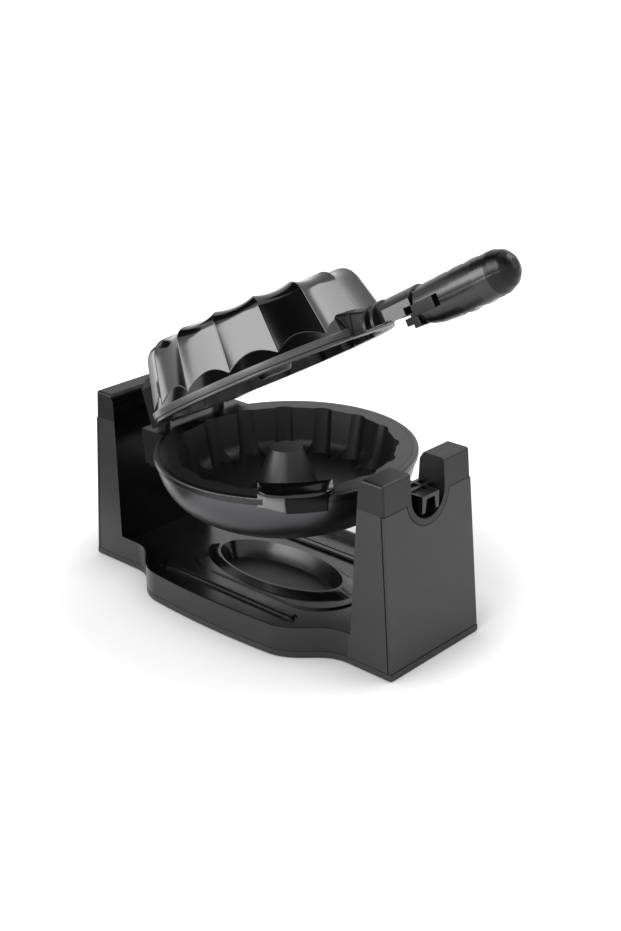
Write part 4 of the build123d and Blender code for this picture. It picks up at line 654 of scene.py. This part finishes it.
camera_data = bpy.data.cameras.new("camera")
camera = bpy.data.objects.new("camera", camera_data)
bpy.context.scene.collection.objects.link(camera)
bpy.context.scene.camera = camera
camera_data.sensor_fit = "VERTICAL"
camera_data.sensor_width = SENSOR
camera_data.sensor_height = SENSOR
camera_data.lens = FOCAL_PIXELS / IMAGE_HEIGHT * SENSOR
camera_data.clip_start = 0.01
camera_data.clip_end = 50
look = (CAMERA_AIM - CAMERA_PLACE).normalized()
upright = look.to_track_quat("-Z", "Y").to_matrix().to_4x4()
camera.rotation_mode = "QUATERNION"
camera.matrix_world = (Matrix.Translation(CAMERA_PLACE)
                       @ (Matrix.Rotation(CAMERA_ROLL, 4, look) @ upright))
print("camera with a lens of", round(camera_data.lens, 1), "mm")

# %% [markdown]
# ## Floor and backdrop
# The photograph has a plain white ground with a soft shadow under the stand. More light could
# whiten it, but that would wash out the object. So rays that show the ground find it white, and
# the others find it dimmer. The shadow is partly real and partly painted: the floor's matte part
# takes the lamps' shadows, and its own glow, a painted shadow, is weaker near the object and where
# something stands close over it.

# %% Floor and backdrop
FLOOR_SIZE = 16
FLOOR_TINT = 0.4
WORLD_LIGHT = 0.38
GLOW = {"From Min": 0.16, "From Max": 0.34, "To Min": 0.5, "To Max": 1.0}
SHADE_REACH = 0.06
SHADE = {"From Min": 0.25, "From Max": 0.98, "To Min": 0.0, "To Max": 1.0}


def white_rays(tree):
    """1 for the rays that show the white ground: those of the camera, of gloss and of glass."""
    rays = new_node(tree, "ShaderNodeLightPath")
    total = rays.outputs["Is Camera Ray"]
    for kind in ("Is Glossy Ray", "Is Transmission Ray"):
        either = new_node(tree, "ShaderNodeMath")
        either.operation = "MAXIMUM"
        tree.links.new(total, either.inputs[0])
        tree.links.new(rays.outputs[kind], either.inputs[1])
        total = either.outputs[0]
    return total


bpy.ops.object.select_all(action="DESELECT")
bpy.ops.mesh.primitive_plane_add(size=FLOOR_SIZE, location=(0, 0, 0))
floor = bpy.context.active_object
floor.name = "floor"
floor_paint = bpy.data.materials.new("white_floor")
floor_paint.use_nodes = True
tree = floor_paint.node_tree
tree.nodes.clear()
join = tree.links.new
out = new_node(tree, "ShaderNodeOutputMaterial")
matte = new_node(tree, "ShaderNodeBsdfDiffuse", {"Color": (FLOOR_TINT, FLOOR_TINT, FLOOR_TINT, 1)})
lift = new_node(tree, "ShaderNodeEmission")
# Painted shadow: the floor's glow is weaker near the object, and ambient occlusion dims it more
# where something stands close over it.
ground_place = new_node(tree, "ShaderNodeTexCoord")
away = new_node(tree, "ShaderNodeVectorMath")
away.operation = "LENGTH"
growing = new_node(tree, "ShaderNodeMapRange", GLOW)
growing.interpolation_type = "SMOOTHSTEP"
near = new_node(tree, "ShaderNodeAmbientOcclusion", {"Distance": SHADE_REACH})
contact = new_node(tree, "ShaderNodeMapRange", SHADE)
shaded = new_node(tree, "ShaderNodeMath")
shaded.operation = "MULTIPLY"
both = new_node(tree, "ShaderNodeAddShader")
pick = new_node(tree, "ShaderNodeMixShader")
join(ground_place.outputs["Object"], away.inputs[0])
join(away.outputs["Value"], growing.inputs["Value"])
join(near.outputs["AO"], contact.inputs["Value"])
join(contact.outputs["Result"], shaded.inputs[0])
join(growing.outputs["Result"], shaded.inputs[1])
join(shaded.outputs[0], lift.inputs["Strength"])
join(matte.outputs[0], both.inputs[0])
join(lift.outputs[0], both.inputs[1])
join(white_rays(tree), pick.inputs["Fac"])
join(matte.outputs[0], pick.inputs[1])
join(both.outputs[0], pick.inputs[2])
join(pick.outputs[0], out.inputs["Surface"])
floor.data.materials.append(floor_paint)

world = bpy.data.worlds.new("studio")
bpy.context.scene.world = world
world.use_nodes = True
tree = world.node_tree
ground = tree.nodes["Background"]
ground.inputs["Color"].default_value = (1, 1, 1, 1)
power = new_node(tree, "ShaderNodeMapRange", {"To Min": WORLD_LIGHT, "To Max": 1.0})
tree.links.new(white_rays(tree), power.inputs["Value"])
tree.links.new(power.outputs["Result"], ground.inputs["Strength"])

# %% [markdown]
# ## Lamps
# Three soft boxes face the object: one low on the left, one higher in front and one behind. One
# large lamp would be simpler, but the bright panels on the lid need edges between them. Each
# stands in a direction from the object's middle, given as azimuth and elevation in degrees, at
# a distance in metres.

# %% Lamps
OBJECT_MIDDLE = Vector((0, 0, 0.2))


def around(azimuth, elevation, distance):
    """Place at a distance from the object's middle, in a direction."""
    flat = distance * cos(radians(elevation))
    return (flat * cos(radians(azimuth)), flat * sin(radians(azimuth)),
            OBJECT_MIDDLE.z + distance * sin(radians(elevation)))


def facing_object(place):
    """Rotation that turns something at this place towards the object's middle."""
    return (OBJECT_MIDDLE - Vector(place)).to_track_quat("-Z", "Y")


def softbox(name, place, size, watts):
    """Rectangular lamp that faces the object."""
    data = bpy.data.lights.new(name, "AREA")
    data.shape = "RECTANGLE"
    data.size, data.size_y = size
    data.energy = watts
    lamp = bpy.data.objects.new(name, data)
    bpy.context.scene.collection.objects.link(lamp)
    lamp.location = place
    lamp.rotation_mode = "QUATERNION"
    lamp.rotation_quaternion = facing_object(place)
    lamp.visible_camera = False
    print(name, watts, "watts")


softbox("left_box", around(-120, 12, 1.25), (0.85, 0.6), 9)
softbox("front_box", around(-80, 38, 1.25), (0.85, 0.8), 14.5)
softbox("back_box", around(48, 46, 1.25), (0.7, 0.6), 6.5)

# %% [markdown]
# ## Dark cards
# Gloss shows whatever stands around it. Black cards give the lid, the grip and the tray the dark
# panels of the photograph between the bright ones. They are seen only in reflections, and they
# give no shadow.

# %% Dark cards that the gloss shows between the lamps
card_black = make_finish("card_black", colour(4, 4, 4), 0.9, specular=0)


def dark_card(name, place, size, flat=False):
    """Black card, seen only in reflections, that faces the object or lies on the floor."""
    bpy.ops.object.select_all(action="DESELECT")
    bpy.ops.mesh.primitive_plane_add(size=1)
    card = bpy.context.active_object
    card.name = name
    card.scale = size + (1,)
    card.location = place
    if not flat:
        card.rotation_mode = "QUATERNION"
        card.rotation_quaternion = facing_object(place)
    bpy.ops.object.transform_apply(location=True, rotation=True, scale=True)
    card.data.materials.append(card_black)
    card.visible_camera = False
    card.visible_diffuse = False
    card.visible_shadow = False


dark_card("front_card", around(-22, 56, 1.0), (0.8, 0.7))
dark_card("left_card", around(-165, 42, 1.1), (1.0, 0.55))
dark_card("over_card", around(-160, 74, 1.2), (0.9, 0.8))
dark_card("grip_card", around(178, 12, 1.0), (0.7, 0.3))
dark_card("low_card", (-0.58, -0.49, 0.004), (0.88, 0.72), flat=True)

# %% [markdown]
# ## The end
# Tones are shown as they are.

# %% The end
bpy.context.scene.view_settings.view_transform = "Standard"
